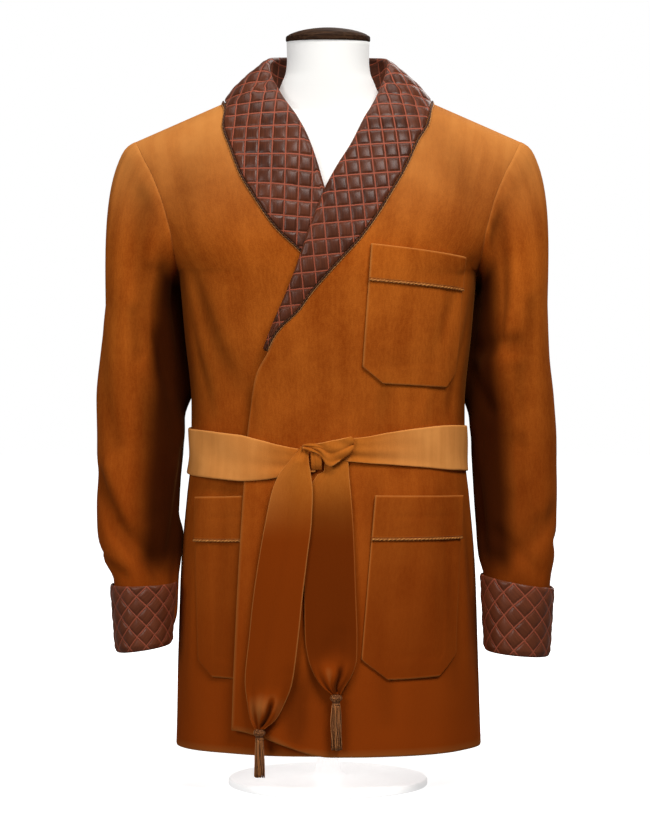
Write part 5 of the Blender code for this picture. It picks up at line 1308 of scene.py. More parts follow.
def build_collar(name, lapel, side, sink, cell_width, cell_height, height):
    """A collar half: outer edge, fall, roll and stand, quilted on a square lattice."""
    roll, edge, foot, out, across, hold = collar_lines(lapel, side, sink)
    lift = QUILT + COLLAR_ROOM[sink]
    radius = PANEL / 2 + lift
    start = roll + out * radius
    chord = edge - start
    rows, raised, reach = [], [], []
    width = np.linalg.norm(chord, axis=1)
    for part in shares(FALL_LINES, 0.012)[::-1][:-2]:
        bulge = FALL_BULGE * (4 * part * (1 - part)) * (1 - hold)
        point = start + chord * part + out * bulge
        rows.append(lay_down(point, hold, lift, sink, NEAR_BODY))
        raised.append(blend(0, PUFF_EDGE, (1 - part) * width) * blend(0, PUFF_EDGE, part * width))
        reach.append(part * width)
    back = radius + TURN_ROOM * hold
    for turn in np.linspace(0, 180, 11):
        angle = math.radians(turn)
        depth = radius * (1 - blend(60, 120, turn)) + back * blend(60, 120, turn)
        rows.append(roll + out * depth * math.cos(angle) - across * radius * math.sin(angle))
        raised.append(np.zeros(len(roll)))
        reach.append(np.full(len(roll), -radius * angle))
    inside = rows[-1]
    turned = inside + across * COLLAR_LAPEL_TURN
    end = foot * (1 - hold) + turned * hold
    for part in (0.35, 0.7, 0.97, 1.0):
        rows.append(inside * (1 - part) + end * part)
        raised.append(np.zeros(len(roll)))
        reach.append(-math.pi * radius - part * np.linalg.norm(end - inside, axis=1))
    plain, raised, reach = np.array(rows), np.array(raised), np.array(reach)
    place = np.arange(len(roll))
    turn = place[(hold[:, 0] > 0.02) & (hold[:, 0] < 0.98)]
    off = np.maximum(turn.min() - place, place - turn.max())
    plain = relaxed(plain, (0.8 * blend(RELAX_STATIONS, 0, off))[None, :, None])
    plain[:, 0, 0] = side * CENTRE_BACK
    flat_roll, flat_edge = flattened(start, edge)
    flat_across = unit(flat_edge - flat_roll)
    here = int(np.argmin(np.abs(roll[:, 2] - LATTICE_HEIGHT)))
    along = unit(roll[here + 1] - roll[here - 1])
    flat_along = unit(flat_roll[here + 1] - flat_roll[here - 1])
    down = np.array([0.0, 0.0, -1.0])
    v_axis = unit(flat_along * np.dot(down, along)
                  + flat_across[here] * np.dot(down, unit(chord[here])))
    u_axis = np.array([v_axis[1], -v_axis[0]])
    place = flat_roll[None] + flat_across[None] * reach[..., None]
    uv = np.stack([place @ u_axis / cell_width, place @ v_axis / cell_height], axis=-1)
    normal = grid_normals(plain) * -side
    outer = plain + normal * (puff(uv, height) * raised)[..., None]
    inner = plain - normal * QUILT
    for grid in (outer, inner):
        grid[:, 0, 0] = side * CENTRE_BACK
    return cloth_wall(name, outer, inner, uv)


EDGE_CORD = 0.0006
CORD_AROUND = 10


def build_collar_piping(name, lapel, side, sink):
    """A cord on the body along the collar's outer edge, with a thin lighter edge beside it."""
    roll, edge, _, _, _, hold = collar_lines(lapel, side, sink)
    along = unit(np.gradient(edge, axis=0))
    away = edge - roll
    shoulders = hold[:, 0] < 1
    facing = np.zeros_like(edge)
    facing[shoulders] = shoulder_face(edge[shoulders, 0], edge[shoulders, 1])[1]
    away = away - facing * np.sum(away * facing, axis=1, keepdims=True)
    away = unit(away - along * np.sum(away * along, axis=1, keepdims=True))

    def laid(off, radius, room):
        route = edge + away * off
        lift = radius + room
        route[shoulders, 2] = height_over_body(route[shoulders, 0], route[shoulders, 1], lift)
        route = lay_down(route, hold, lift, sink, 0.0)
        route[0, 0] = side * CENTRE_BACK
        return route

    cord = laid(CORD_RADIUS + PIPING_SEAM * 0.5, CORD_RADIUS, PIPING_ROOM * 0.6)
    light = laid(CORD_RADIUS * 2 + PIPING_SEAM * 0.5 + EDGE_CORD * 0.7, EDGE_CORD, 0.0006)
    return joined_cords(name, [(cord, CORD_RADIUS, CORD_AROUND, 0), (light, EDGE_CORD, 6, 2)])


POCKET_LINES = 58
POCKET_PUFF = 0.0009
# Pockets get painted shade lower down, up to this share
POCKET_SHADE = 0.18


def build_pocket(pocket):
    """A patch pocket, its turned-over band and the cord along the band's lower edge."""
    corners = {k: np.array(getattr(pocket, k))
               for k in ("left_top", "right_top", "left_low", "right_low")}
    height = np.linalg.norm(corners["left_top"] - corners["left_low"])
    width = np.linalg.norm(corners["right_top"] - corners["left_top"])
    across = shares(POCKET_LINES, 0.010)

    def on_body(u, v, lift):
        """Points of the pocket's sheet: u runs across it and v down it."""
        left = corners["left_top"] + (corners["left_low"] - corners["left_top"]) * v[..., None]
        right = corners["right_top"] + (corners["right_low"] - corners["right_top"]) * v[..., None]
        left_angle = angle_at(left[..., 0], row_at(left[..., 0], left[..., 1]))
        right_angle = angle_at(right[..., 0], row_at(right[..., 0], right[..., 1]))
        angle = left_angle + (right_angle - left_angle) * u
        z = left[..., 1] + (right[..., 1] - left[..., 1]) * u
        x = ring_point(angle, plain_row(z))[..., 0]
        sink = under_sink(x, z) if pocket.front == "under" else 0.0
        return body_point(angle, row_at(x, z), lift - sink)

    def sheet(name, u, v, lift, swell):
        outer, normal = on_body(u, v, lift + PANEL)
        rise = swell * (np.sin(math.pi * u) * np.sin(math.pi * np.clip(v, 0, 1))) ** 0.5
        rise = rise + 0.0005 * np.sin(u * 9 + v * 4) * np.sin(v * 7 - u * 3) * np.sin(math.pi * u)
        thick = turning(outer) * 0.8
        uv = np.stack([u * width, -v * height], axis=-1)
        outer = outer + normal * (rise + thick)[..., None]
        # Painted shade: darker lower down
        painted_shade = POCKET_SHADE * blend(0.50, 0.30, outer[..., 2])
        return cloth_wall(name, outer, outer - normal * PANEL, uv, painted_shade=painted_shade)

    v, u = np.meshgrid(shares(POCKET_LINES, 0.008)[::-1], across, indexing="ij")
    cut = pocket.chamfer / height
    share = np.clip((v - (1 - cut)) / cut, 0, 1) * pocket.chamfer / width
    lift = POCKET_LIFT[pocket.front]
    patch = sheet(pocket.name + "_cloth", share + u * (1 - 2 * share), v, lift, POCKET_PUFF)
    band = pocket.band / height
    v, u = np.meshgrid(shares(18, 0.03)[::-1] * band, across, indexing="ij")
    top = sheet(pocket.name + "_band_cloth", u, v, lift + PANEL + SEAM + POCKET_PUFF, 0.0003)
    u = np.linspace(0, 1, 90)
    cords = []
    # The thin second cord, coloured deep velvet, is a painted shadow line beside the light cord
    for radius, off, colour_band in ((CORD_RADIUS * 1.15, 0.0014, 0), (EDGE_CORD, -0.0010, 2)):
        v = np.full(len(u), band + off / height)
        lifted = lift + PANEL + SEAM + POCKET_PUFF + radius + (PANEL * 0.5 if off < 0 else 0)
        cords.append((on_body(u, v, lifted)[0], radius, CORD_AROUND, colour_band))
    return patch, top, joined_cords(pocket.name + "_cord", cords)


BELT_LINES = 230
BELT_ROWS = 22
# Creases along the belt: count across it, phase and depth
BELT_FOLDS = ((1.5, 0.4, 0.0011), (2.5, 2.2, 0.0007))
# Places at the knot's two sides, and their widths, where the belt is creased
KNOT_SIDES = ((-8, 22), (-352, 24))


def build_belt(name):
    """The belt round the waist, creased where it is drawn into the knot."""
    columns = columns_of(BELT, "angle")
    angles = np.linspace(BELT[-1].angle, BELT[0].angle, BELT_LINES)
    share = shares(BELT_ROWS, 0.02) - 0.5
    rows = []
    for part in share:
        height = columns["middle"](angles) + columns["width"](angles) * part
        rows.append(plain_row(height))
    near = sum(hump(angles, place, width) for place, width in KNOT_SIDES)
    lift = np.full((len(share), len(angles)), BELT_LIFT + BAND)
    for count, phase, depth in BELT_FOLDS:
        wave = np.sin(share[:, None] * 2 * math.pi * count + phase + np.radians(angles) * 3)
        lift = lift + depth * near * (1 + wave) * 0.7
    slack = 0.0007 * (1 + np.sin(np.radians(angles) * 9 + share[:, None] * 5)) * (1 - near)
    outer, normal = body_point(np.radians(angles)[None, :], np.array(rows), lift + slack)
    uv = np.stack(np.broadcast_arrays(np.radians(angles)[None, :] * BODY_RADIUS,
                                      share[:, None] * 0.057), axis=-1)
    return cloth_wall(name, outer, outer - normal * BAND, uv)


def build_strip(name, middle, thickness, uv):
    """A closed strip of belt cloth about a grid of middle points."""
    half = grid_normals(middle) * thickness / 2
    return cloth_wall(name, middle + half, middle - half, uv)


def build_knot():
    """The knot's folded wing and the wrap below it."""
    share = shares(26, 0.03)[:, None]
    count = 96
    table = finer(KNOT_WING, count)
    x, low, high, off = table.T
    turned = blend(len(KNOT_WING) * 0.62, len(KNOT_WING) * 0.74,
                   np.linspace(0, len(KNOT_WING) - 1, count))
    bulge = WING_PUFF * np.sin(math.pi * share)
    for place, slope, start, width, depth in WING_CREASES:
        bulge = bulge - depth * hump(share - place + slope * (x + start), 0, width)
    bulge = bulge + 0.0008 * np.sin(share * 9 + x * 260)
    z = low + (high - low) * share
    x = np.broadcast_to(x, z.shape)
    middle = front_point(x, z, off + bulge * (1 - turned))[0]
    along = np.linspace(0, 0.11, count)
    uv = np.stack(np.broadcast_arrays(along[None, :], share * 0.03), axis=-1)
    wing = build_strip("knot_wing_cloth", middle, BAND, uv)
    path = finer(np.array(KNOT_WRAP)[::-1], 48)
    u = shares(20, 0.04)
    x, z = np.meshgrid(WRAP_LEFT + (WRAP_RIGHT - WRAP_LEFT) * u, path[:, 0])
    off = path[:, 1][:, None] + 0.0007 * np.sin(math.pi * u) + 0.0005 * np.sin(u * 16 + z * 90)
    uv = np.stack(np.broadcast_arrays(u[None, :] * 0.02, path[:, 0][:, None]), axis=-1)
    wrap = build_strip("knot_wrap_cloth", front_point(x, z, off)[0], BAND, uv)
    return wing, wrap


TAIL_LINES = 140
TAIL_ACROSS = 38
# Above the gather an end puffs out, round one deep pleat
FOOT_PUFF = 0.0045
FOOT_PUFF_HEIGHT = 0.026
FOOT_PUFF_WIDTH = 0.015
FOOT_PLEAT = 0.0052
FOOT_PLEAT_WIDTH = 0.075
# Small pleats at the foot: count, phase, depth and reach
FOOT_PLEATS = ((2, 0.0, 0.0016, 0.028), (3.5, 0.9, 0.0010, 0.050))
# Creases that fan down from the knot: count, depth and reach
KNOT_FAN = 2.5
KNOT_FAN_DEPTH = 0.0012
KNOT_FAN_REACH = 0.050
LONG_FOLD_WIDTH = 0.16
TAIL_LEAST_LIFT = 0.0024


def build_tail(name, table, fold_place, fold_depth, painted_shade):
    """One hanging belt end, creased below the knot and gathered at its foot."""
    columns = columns_of(table, "height")
    share = shares(TAIL_LINES, 0.003)
    keys = np.linspace(0, 1, len(table))
    heights = smooth_curve(keys, [entry.height for entry in table[::-1]])(share)
    z, u = np.meshgrid(heights, shares(TAIL_ACROSS, 0.02), indexing="ij")
    left, right = columns["left"](z), columns["right"](z)
    x = left + (right - left) * u
    side = np.where(u < 0.5, columns["off_left"](z), columns["off_right"](z))
    off = side + (columns["off_middle"](z) - side) * np.sin(math.pi * u)
    bottom, top = table[-1].height, table[0].height
    for count, phase, depth, reach in FOOT_PLEATS:
        pleats = np.cos(u * 2 * math.pi * count + phase) * hump(z, bottom, reach)
        off = off + depth * pleats
    swell = hump(z - bottom, FOOT_PUFF_HEIGHT, FOOT_PUFF_WIDTH) * np.sin(math.pi * u) ** 0.7
    lean = 0.58 + 0.10 * np.sin((z - bottom) * 60)
    pleat = (hump(u, lean, FOOT_PLEAT_WIDTH)
             * blend(0.044, 0.026, z - bottom) * blend(0.0, 0.004, z - bottom))
    off = off + FOOT_PUFF * swell - FOOT_PLEAT * pleat
    fan = 0.5 - 0.5 * np.cos(u * 2 * math.pi * KNOT_FAN + 1.0)
    off = off - KNOT_FAN_DEPTH * hump(top - z, 0, KNOT_FAN_REACH) * fan
    lean = fold_place + 0.12 * np.sin((top - z) * 14)
    off = off - fold_depth * hump(u, lean, LONG_FOLD_WIDTH) * blend(0, 0.06, top - z)
    outer, normal = front_point(x, z, np.maximum(off, TAIL_LEAST_LIFT) + BAND)
    uv = np.stack([u * 0.055, z], axis=-1)
    # Painted shade below the knot and in the pleats, and a painted highlight on the puff and the
    # pleats' crests
    lies = painted_shade * blend(0.0, 0.08, top - z) + 0.3 * hump(z, bottom, 0.03) * pleats
    lies = np.maximum(lies, 0.85 * pleat) - 0.5 * swell * (1 - pleat)
    return cloth_wall(name, outer, outer - normal * BAND, uv, painted_shade=lies)


# The head is wound round and round over a core, with loops of thread over its top
WINDINGS = 9
WINDING_RADIUS = 0.0009
WINDING_INSET = 0.0008
CORE_SHARE = 0.82
HEAD_LOOPS = 7
LOOP_RADIUS = 0.0007
STRAND_RADIUS = 0.00062
# Each strand's root is turned on from the last by this angle, which spreads them evenly
GOLDEN_ANGLE = 2.399963


def build_tassel(name, tail, length, strands, seed):
    """A bound head with loops below a tail's foot, and the strands that hang from it."""
    foot = tail[-1]
    across = (foot.left + foot.right) / 2
    (x, y, z), _ = front_point(across, foot.height, foot.off_middle + BAND / 2)
    top = z - SEAM
    random = np.random.default_rng(seed)
    axis = np.array([x, y, 0.0])
    cords = []
    turns = np.linspace(0, 2 * math.pi * WINDINGS, 260)
    drop = np.linspace(0.0003, TASSEL_HEAD_HEIGHT, len(turns))
    shape = smooth_curve([p[1] for p in TASSEL_PROFILE], [p[0] for p in TASSEL_PROFILE])
    wound = TASSEL_HEAD_RADIUS * shape(drop) - WINDING_INSET
    route = axis + np.stack([wound * np.cos(turns), wound * np.sin(turns), top - drop], axis=-1)
    cords.append((route, WINDING_RADIUS, 5, 0))
    core = axis + np.stack([0 * drop, 0 * drop, top - drop], axis=-1)[::13]
    cords.append((core, TASSEL_HEAD_RADIUS * shape(drop[::13]) * CORE_SHARE, 10, 0))
    for i in range(HEAD_LOOPS):
        a = 2 * math.pi * i / HEAD_LOOPS + 0.3
        t = np.linspace(0, math.pi, 12)
        rim = TASSEL_HEAD_RADIUS * (0.35 + 0.72 * np.sin(t))
        loop = axis + np.stack([rim * math.cos(a), rim * math.sin(a),
                                top - 0.0006 - 0.0075 * (1 - np.cos(t)) / 2], axis=-1)
        cords.append((loop, LOOP_RADIUS, 5, 0))
    neck = top - TASSEL_HEAD_HEIGHT + 0.001
    fall = length - TASSEL_HEAD_HEIGHT
    for i in range(strands):
        a = i * GOLDEN_ANGLE
        ring = math.sqrt((i + 0.5) / strands)
        root = TASSEL_HEAD_RADIUS * 0.72 * ring
        flare = TASSEL_HEAD_RADIUS * (0.95 * ring + 0.10 * random.uniform(-1, 1))
        end = 1.0 - 0.06 * random.uniform(0, 1)
        t = np.linspace(0, end, 12)
        radius = root + (flare - root) * np.sin(np.minimum(t * 2.4, math.pi / 2))
        sway = 0.0009 * random.uniform(-1, 1) * np.sin(t * math.pi * 1.5)
        twist = a + 0.5 * t + sway * 60
        strand = axis + np.stack([radius * np.cos(twist) + sway, radius * np.sin(twist),
                                  neck - fall * t], axis=-1)
        cords.append((strand, STRAND_RADIUS, 4, i % 3))
    return joined_cords(name, cords)


TORSO_LINES = 120


def build_torso(name):
    """The limbless torso with its neck, in one smooth skin."""
    loops = np.array(form_loops())
    at = np.concatenate([[0, 0.12], np.linspace(1, len(loops) - 1, TORSO_LINES)])
    skin = resample(loops, at)
    rows, columns = skin.shape[:2]
    points = skin.reshape(-1, 3)
    last = (rows - 1) * columns
    faces = [quads(rows, columns, True), np.arange(columns)[::-1][None, :],
             (last + np.arange(columns))[None, :]]
    turn = np.arange(columns) / columns * 2 * math.pi * BODY_RADIUS
    uv = np.stack(np.broadcast_arrays(turn[None, :], skin[..., 2]), axis=-1)
    return solid(name, points, faces, uv, (2 * math.pi * BODY_RADIUS, 0.0))


def build_turned(name, profile, middle, sides):
    """A turned piece: a disc drawn up through its profile by extruding and scaling."""
    bpy.ops.object.select_all(action="DESELECT")
    radius, height = profile[0]
    bpy.ops.mesh.primitive_circle_add(vertices=sides, radius=radius, fill_type="NGON",
                                      location=(middle[0], middle[1], height))
    piece = bpy.context.object
    piece.name = piece.data.name = name
    bpy.ops.object.transform_apply(location=True, rotation=True, scale=True)
    bpy.ops.object.mode_set(mode="EDIT")
    bpy.ops.mesh.select_all(action="SELECT")
    for next_radius, next_height in profile[1:]:
        bpy.ops.mesh.extrude_region_move(
            TRANSFORM_OT_translate={"value": (0, 0, next_height - height)})
        factor = next_radius / radius
        bpy.ops.transform.resize(value=(factor, factor, 1),
                                 center_override=(middle[0], middle[1], next_height))
        radius, height = next_radius, next_height
    bpy.ops.mesh.select_all(action="SELECT")
    bpy.ops.mesh.normals_make_consistent(inside=False)
    bpy.ops.object.mode_set(mode="OBJECT")
    bpy.ops.object.shade_smooth_by_angle(angle=math.radians(32))
    return piece


def new_group(name, inputs, outputs):
    """An empty shader node group with its named sockets."""
    tree = bpy.data.node_groups.new(name, "ShaderNodeTree")
    for label, kind, value in inputs:
        socket = tree.interface.new_socket(name=label, in_out="INPUT", socket_type=kind)
        if value is not None:
            socket.default_value = value
    for label, kind in outputs:
        tree.interface.new_socket(name=label, in_out="OUTPUT", socket_type=kind)
    return tree, tree.nodes.new("NodeGroupInput"), tree.nodes.new("NodeGroupOutput")


def feed(tree, socket, value):
    """Gives an input its value, or links it from the socket that gives it."""
    if isinstance(value, bpy.types.NodeSocket):
        tree.links.new(value, socket)
    else:
        socket.default_value = value


def node(tree, kind, inputs=None, **settings):
    """A new node; an input is a value, or a socket to link from."""
    made = tree.nodes.new(kind)
    for key, value in settings.items():
        setattr(made, key, value)
    for key, value in (inputs or {}).items():
        feed(tree, made.inputs[key], value)
    return made


def maths(tree, operation, *values, clamp=False):
    """The result of a Math node."""
    made = node(tree, "ShaderNodeMath", operation=operation, use_clamp=clamp)
    for index, value in enumerate(values):
        feed(tree, made.inputs[index], value)
    return made.outputs[0]


def span(tree, value, low, high, to_low=0.0, to_high=1.0):
    """A smooth step of a value from one range to another."""
    made = node(tree, "ShaderNodeMapRange", interpolation_type="SMOOTHSTEP")
    for index, number in enumerate((value, low, high, to_low, to_high)):
        feed(tree, made.inputs[index], number)
    return made.outputs[0]


def mixed(tree, factor, first, second, blend_type="MIX"):
    """A mix of two colours."""
    made = node(tree, "ShaderNodeMix", data_type="RGBA", blend_type=blend_type)
    for index, value in ((0, factor), (6, first), (7, second)):
        feed(tree, made.inputs[index], value)
    return made.outputs[2]


def rgb(colour):
    """A colour with its alpha."""
    return (*colour[:3], 1.0)


def nap_group():
    """Brushed pile: broad soft patches, streaks down the cloth and a fine pile height."""
    tree, given, result = new_group(
        "Brushed nap",
        [("Place", "NodeSocketVector", None), ("Along Cloth", "NodeSocketVector", None),
         ("Patch Scale", "NodeSocketFloat", 9.0), ("Streak Scale", "NodeSocketFloat", 60.0),
         ("Streak Amount", "NodeSocketFloat", 0.35)],
        [("Shade", "NodeSocketFloat"), ("Pile", "NodeSocketFloat")])
    patch = node(tree, "ShaderNodeTexNoise", {"Vector": given.outputs["Place"],
                 "Scale": given.outputs["Patch Scale"], "Detail": 4.0, "Roughness": 0.55})
    stretched = node(tree, "ShaderNodeMapping", {"Vector": given.outputs["Along Cloth"],
                     "Scale": (1.0, 0.10, 1.0)})
    streak = node(tree, "ShaderNodeTexNoise", {"Vector": stretched.outputs[0],
                  "Scale": given.outputs["Streak Scale"], "Detail": 3.0, "Roughness": 0.5})
    soft_patch = span(tree, patch.outputs["Fac"], 0.30, 0.70)
    soft_streak = span(tree, streak.outputs["Fac"], 0.32, 0.68)
    both = node(tree, "ShaderNodeMix", {0: given.outputs["Streak Amount"], 2: soft_patch,
                3: soft_streak}, data_type="FLOAT")
    pile = node(tree, "ShaderNodeTexNoise", {"Vector": given.outputs["Place"], "Scale": 900.0,
                "Detail": 2.0, "Roughness": 0.6})
    down = node(tree, "ShaderNodeMapping", {"Vector": given.outputs["Along Cloth"],
                "Scale": (1.0, 0.25, 1.0)})
    rib = node(tree, "ShaderNodeTexNoise", {"Vector": down.outputs[0], "Scale": 420.0,
               "Detail": 2.0})
    height = maths(tree, "ADD", maths(tree, "MULTIPLY", pile.outputs["Fac"], 0.6),
                   maths(tree, "MULTIPLY", rib.outputs["Fac"], 0.4))
    tree.links.new(both.outputs[0], result.inputs["Shade"])
    tree.links.new(height, result.inputs["Pile"])
    return tree


def stitch_group():
    """The stitched lines of quilting: a raised thread on each whole number of the map."""
    tree, given, result = new_group(
        "Stitched lines",
        [("Cells", "NodeSocketVector", None), ("Thread Width", "NodeSocketFloat", 0.055),
         ("Wander", "NodeSocketFloat", 0.02)],
        [("Thread", "NodeSocketFloat"), ("Height", "NodeSocketFloat"),
         ("Cushion", "NodeSocketFloat"), ("Cell Tone", "NodeSocketFloat")])
    loose = node(tree, "ShaderNodeTexNoise", {"Vector": given.outputs["Cells"], "Scale": 1.7,
                 "Detail": 2.0})
    shift = maths(tree, "MULTIPLY", maths(tree, "SUBTRACT", loose.outputs["Fac"], 0.5),
                  given.outputs["Wander"])
    parts = node(tree, "ShaderNodeSeparateXYZ", {0: given.outputs["Cells"]})
    away, middles = [], []
    for axis in (0, 1):
        moved = maths(tree, "ADD", parts.outputs[axis], shift)
        share = maths(tree, "FRACT", moved)
        middles.append(maths(tree, "FLOOR", moved))
        away.append(maths(tree, "MINIMUM", share, maths(tree, "SUBTRACT", 1.0, share)))
    near = maths(tree, "MINIMUM", away[0], away[1])
    thread = span(tree, near, maths(tree, "MULTIPLY", given.outputs["Thread Width"], 1.25),
                  maths(tree, "MULTIPLY", given.outputs["Thread Width"], 0.55))
    groove = span(tree, near, 0.02, 0.20)
    height = maths(tree, "ADD", maths(tree, "MULTIPLY", thread, 0.75), groove)
    which = node(tree, "ShaderNodeCombineXYZ", {0: middles[0], 1: middles[1]})
    tone = node(tree, "ShaderNodeTexWhiteNoise", {"Vector": which.outputs[0]},
                noise_dimensions="3D")
    cushion = span(tree, near, 0.05, 0.45)
    for label, value in (("Thread", thread), ("Height", height), ("Cushion", cushion),
                         ("Cell Tone", tone.outputs["Value"])):
        tree.links.new(value, result.inputs[label])
    return tree


def twist_group():
    """Strands twisted round a cord: a painted highlight on their crowns, painted shade between
    them.
    """
    tree, given, result = new_group(
        "Twisted strands",
        [("Along Cord", "NodeSocketVector", None), ("Turns per Metre", "NodeSocketFloat", 260.0),
         ("Strands", "NodeSocketFloat", 2.0)],
        [("Crown", "NodeSocketFloat"), ("Height", "NodeSocketFloat"),
         ("Second Colour", "NodeSocketFloat")])
    parts = node(tree, "ShaderNodeSeparateXYZ", {0: given.outputs["Along Cord"]})
    along = maths(tree, "MULTIPLY", parts.outputs[0], given.outputs["Turns per Metre"])
    around = maths(tree, "MULTIPLY", parts.outputs[1], given.outputs["Strands"])
    angle = maths(tree, "MULTIPLY", maths(tree, "ADD", along, around), 2 * math.pi)
    wave = maths(tree, "ADD", maths(tree, "MULTIPLY", maths(tree, "SINE", angle), 0.5), 0.5)
    second = span(tree, parts.outputs[1], 1.4, 1.6)
    for label, value in (("Crown", wave), ("Height", wave), ("Second Colour", second)):
        tree.links.new(value, result.inputs[label])
    return tree


def weave_group():
    """A fine plain weave or knit, as a height and a slight change of tone."""
    tree, given, result = new_group(
        "Fine weave",
        [("Along Cloth", "NodeSocketVector", None),
         ("Threads per Metre", "NodeSocketFloat", 900.0)],
        [("Tone", "NodeSocketFloat"), ("Height", "NodeSocketFloat")])
    parts = node(tree, "ShaderNodeSeparateXYZ", {0: given.outputs["Along Cloth"]})
    waves = []
    for axis in (0, 1):
        turned = maths(tree, "MULTIPLY", maths(tree, "MULTIPLY", parts.outputs[axis],
                       given.outputs["Threads per Metre"]), 2 * math.pi)
        waves.append(maths(tree, "ADD", maths(tree, "MULTIPLY", maths(tree, "SINE", turned), 0.5),
                           0.5))
    both = maths(tree, "MULTIPLY", waves[0], waves[1])
    tree.links.new(both, result.inputs["Tone"])
    tree.links.new(both, result.inputs["Height"])
    return tree


# Turns of a tassel's threads in each metre
TASSEL_TURNS = 12.0
GROUP_MAKERS = {"Brushed nap": nap_group, "Stitched lines": stitch_group,
                "Twisted strands": twist_group, "Fine weave": weave_group}


def effect(tree, name, inputs):
    """One of the shared effects, placed in a material with its own values."""
    made = tree.nodes.new("ShaderNodeGroup")
    made.node_tree = bpy.data.node_groups.get(name) or GROUP_MAKERS[name]()
    for key, value in inputs.items():
        feed(tree, made.inputs[key], value)
    return made.outputs


def start_material(name, roughness, **constants):
    """A material with its Principled shader, and the two sets of coordinates it may read."""
    made = bpy.data.materials.new(name)
    made.use_nodes = True
    tree = made.node_tree
    shader = tree.nodes["Principled BSDF"]
    shader.inputs["Roughness"].default_value = roughness
    for key, value in constants.items():
        shader.inputs[key.replace("_", " ")].default_value = value
    place = node(tree, "ShaderNodeTexCoord").outputs["Object"]
    cloth = node(tree, "ShaderNodeUVMap", uv_map="Cloth").outputs["UV"]
    return made, tree, shader, place, cloth


def set_bump(tree, shader, height, distance, strength):
    """Raises a material's surface by a height."""
    bump = node(tree, "ShaderNodeBump", {"Height": height, "Distance": distance,
                "Strength": strength})
    tree.links.new(bump.outputs[0], shader.inputs["Normal"])


# Painted shade is this share of the low colour
PAINTED_SHADE_TONE = 0.10


def velvet_material(name, deep, light, low, pale, painted_shade_heights, painted_highlight_reach):
    """Velvet with a nap of soft patches, streaks and fine pile.

    It is painted darker lower down as shade, turning from low to its own colour between two
    given heights, and painted paler as a highlight along an axis from a start to an end. Edges
    get a painted highlight, and places in shade get painted shade.
    """
    made, tree, shader, place, cloth = start_material(
        name, 0.92, Sheen_Weight=0.12, Sheen_Roughness=0.4, Sheen_Tint=rgb(pale),
        Specular_IOR_Level=0.03)
    nap = effect(tree, "Brushed nap", {"Place": place, "Along Cloth": cloth,
                 "Patch Scale": 11.0, "Streak Scale": 55.0, "Streak Amount": 0.32})
    shade = maths(tree, "ADD", maths(tree, "MULTIPLY", nap["Shade"], 0.70),
                  span(tree, nap["Pile"], 0.38, 0.62, 0.0, 0.30))
    colour = mixed(tree, shade, rgb(deep), rgb(light))
    parts = node(tree, "ShaderNodeSeparateXYZ", {0: place}).outputs
    # Painted shade: darker toward the low colour lower down
    colour = mixed(tree, span(tree, parts[2], *painted_shade_heights), rgb(low), colour)
    # Painted highlight: paler along an axis, above the painted shade
    axis, start, end = painted_highlight_reach
    painted_highlight = maths(tree, "MULTIPLY", span(tree, maths(tree, "ABSOLUTE", parts[axis]), start, end),
                    span(tree, nap["Shade"], 0.0, 1.0, 0.6, 1.0))
    painted_highlight = maths(tree, "MULTIPLY", painted_highlight, span(tree, parts[2], *painted_shade_heights))
    colour = mixed(tree, painted_highlight, colour, rgb(pale))
    # Painted highlight on the edges where Edge is above 0, painted shade where it is below 0
    wear_and_painted_light = node(tree, "ShaderNodeAttribute", attribute_name="Edge").outputs["Fac"]
    colour = mixed(tree, maths(tree, "MULTIPLY", wear_and_painted_light, 0.55, clamp=True), colour, rgb(pale))
    painted_shade = maths(tree, "MULTIPLY", wear_and_painted_light, -1.0, clamp=True)
    colour = mixed(tree, painted_shade, colour, rgb([c * PAINTED_SHADE_TONE for c in low]))
    tree.links.new(colour, shader.inputs["Base Color"])
    set_bump(tree, shader, nap["Pile"], 0.0005, 0.55)
    return made


def satin_material(name, cell, cell_light, thread):
    """Quilted satin: dark cells with a low sheen and raised reddish stitching."""
    made, tree, shader, place, cloth = start_material(
        name, 0.42, Sheen_Weight=0.10, Sheen_Roughness=0.35, Sheen_Tint=rgb((0.9, 0.4, 0.25)),
        Specular_IOR_Level=0.22)
    lines = effect(tree, "Stitched lines", {"Cells": cloth, "Thread Width": 0.046,
                   "Wander": 0.05})
    nap = effect(tree, "Brushed nap", {"Place": place, "Along Cloth": cloth, "Patch Scale": 22.0,
                 "Streak Scale": 9.0, "Streak Amount": 0.5})
    tone = maths(tree, "ADD", maths(tree, "MULTIPLY", nap["Shade"], 0.5),
                 maths(tree, "MULTIPLY", lines["Cell Tone"], 0.3))
    height = node(tree, "ShaderNodeSeparateXYZ", {0: place}).outputs[2]
    # Painted highlight: the satin is painted lighter lower down, on the cuffs
    tone = maths(tree, "ADD", tone, span(tree, height, 0.45, 0.30, -0.05, 0.40))
    colour = mixed(tree, tone, rgb(cell), rgb(cell_light))
    colour = mixed(tree, maths(tree, "MULTIPLY", lines["Thread"], 0.85), colour, rgb(thread))
    tree.links.new(colour, shader.inputs["Base Color"])
    tree.links.new(span(tree, lines["Thread"], 0.0, 1.0, 0.34, 0.60), shader.inputs["Roughness"])
    height = maths(tree, "ADD", lines["Height"], maths(tree, "MULTIPLY", nap["Pile"], 0.10))
    set_bump(tree, shader, height, 0.0009, 0.7)
    return made


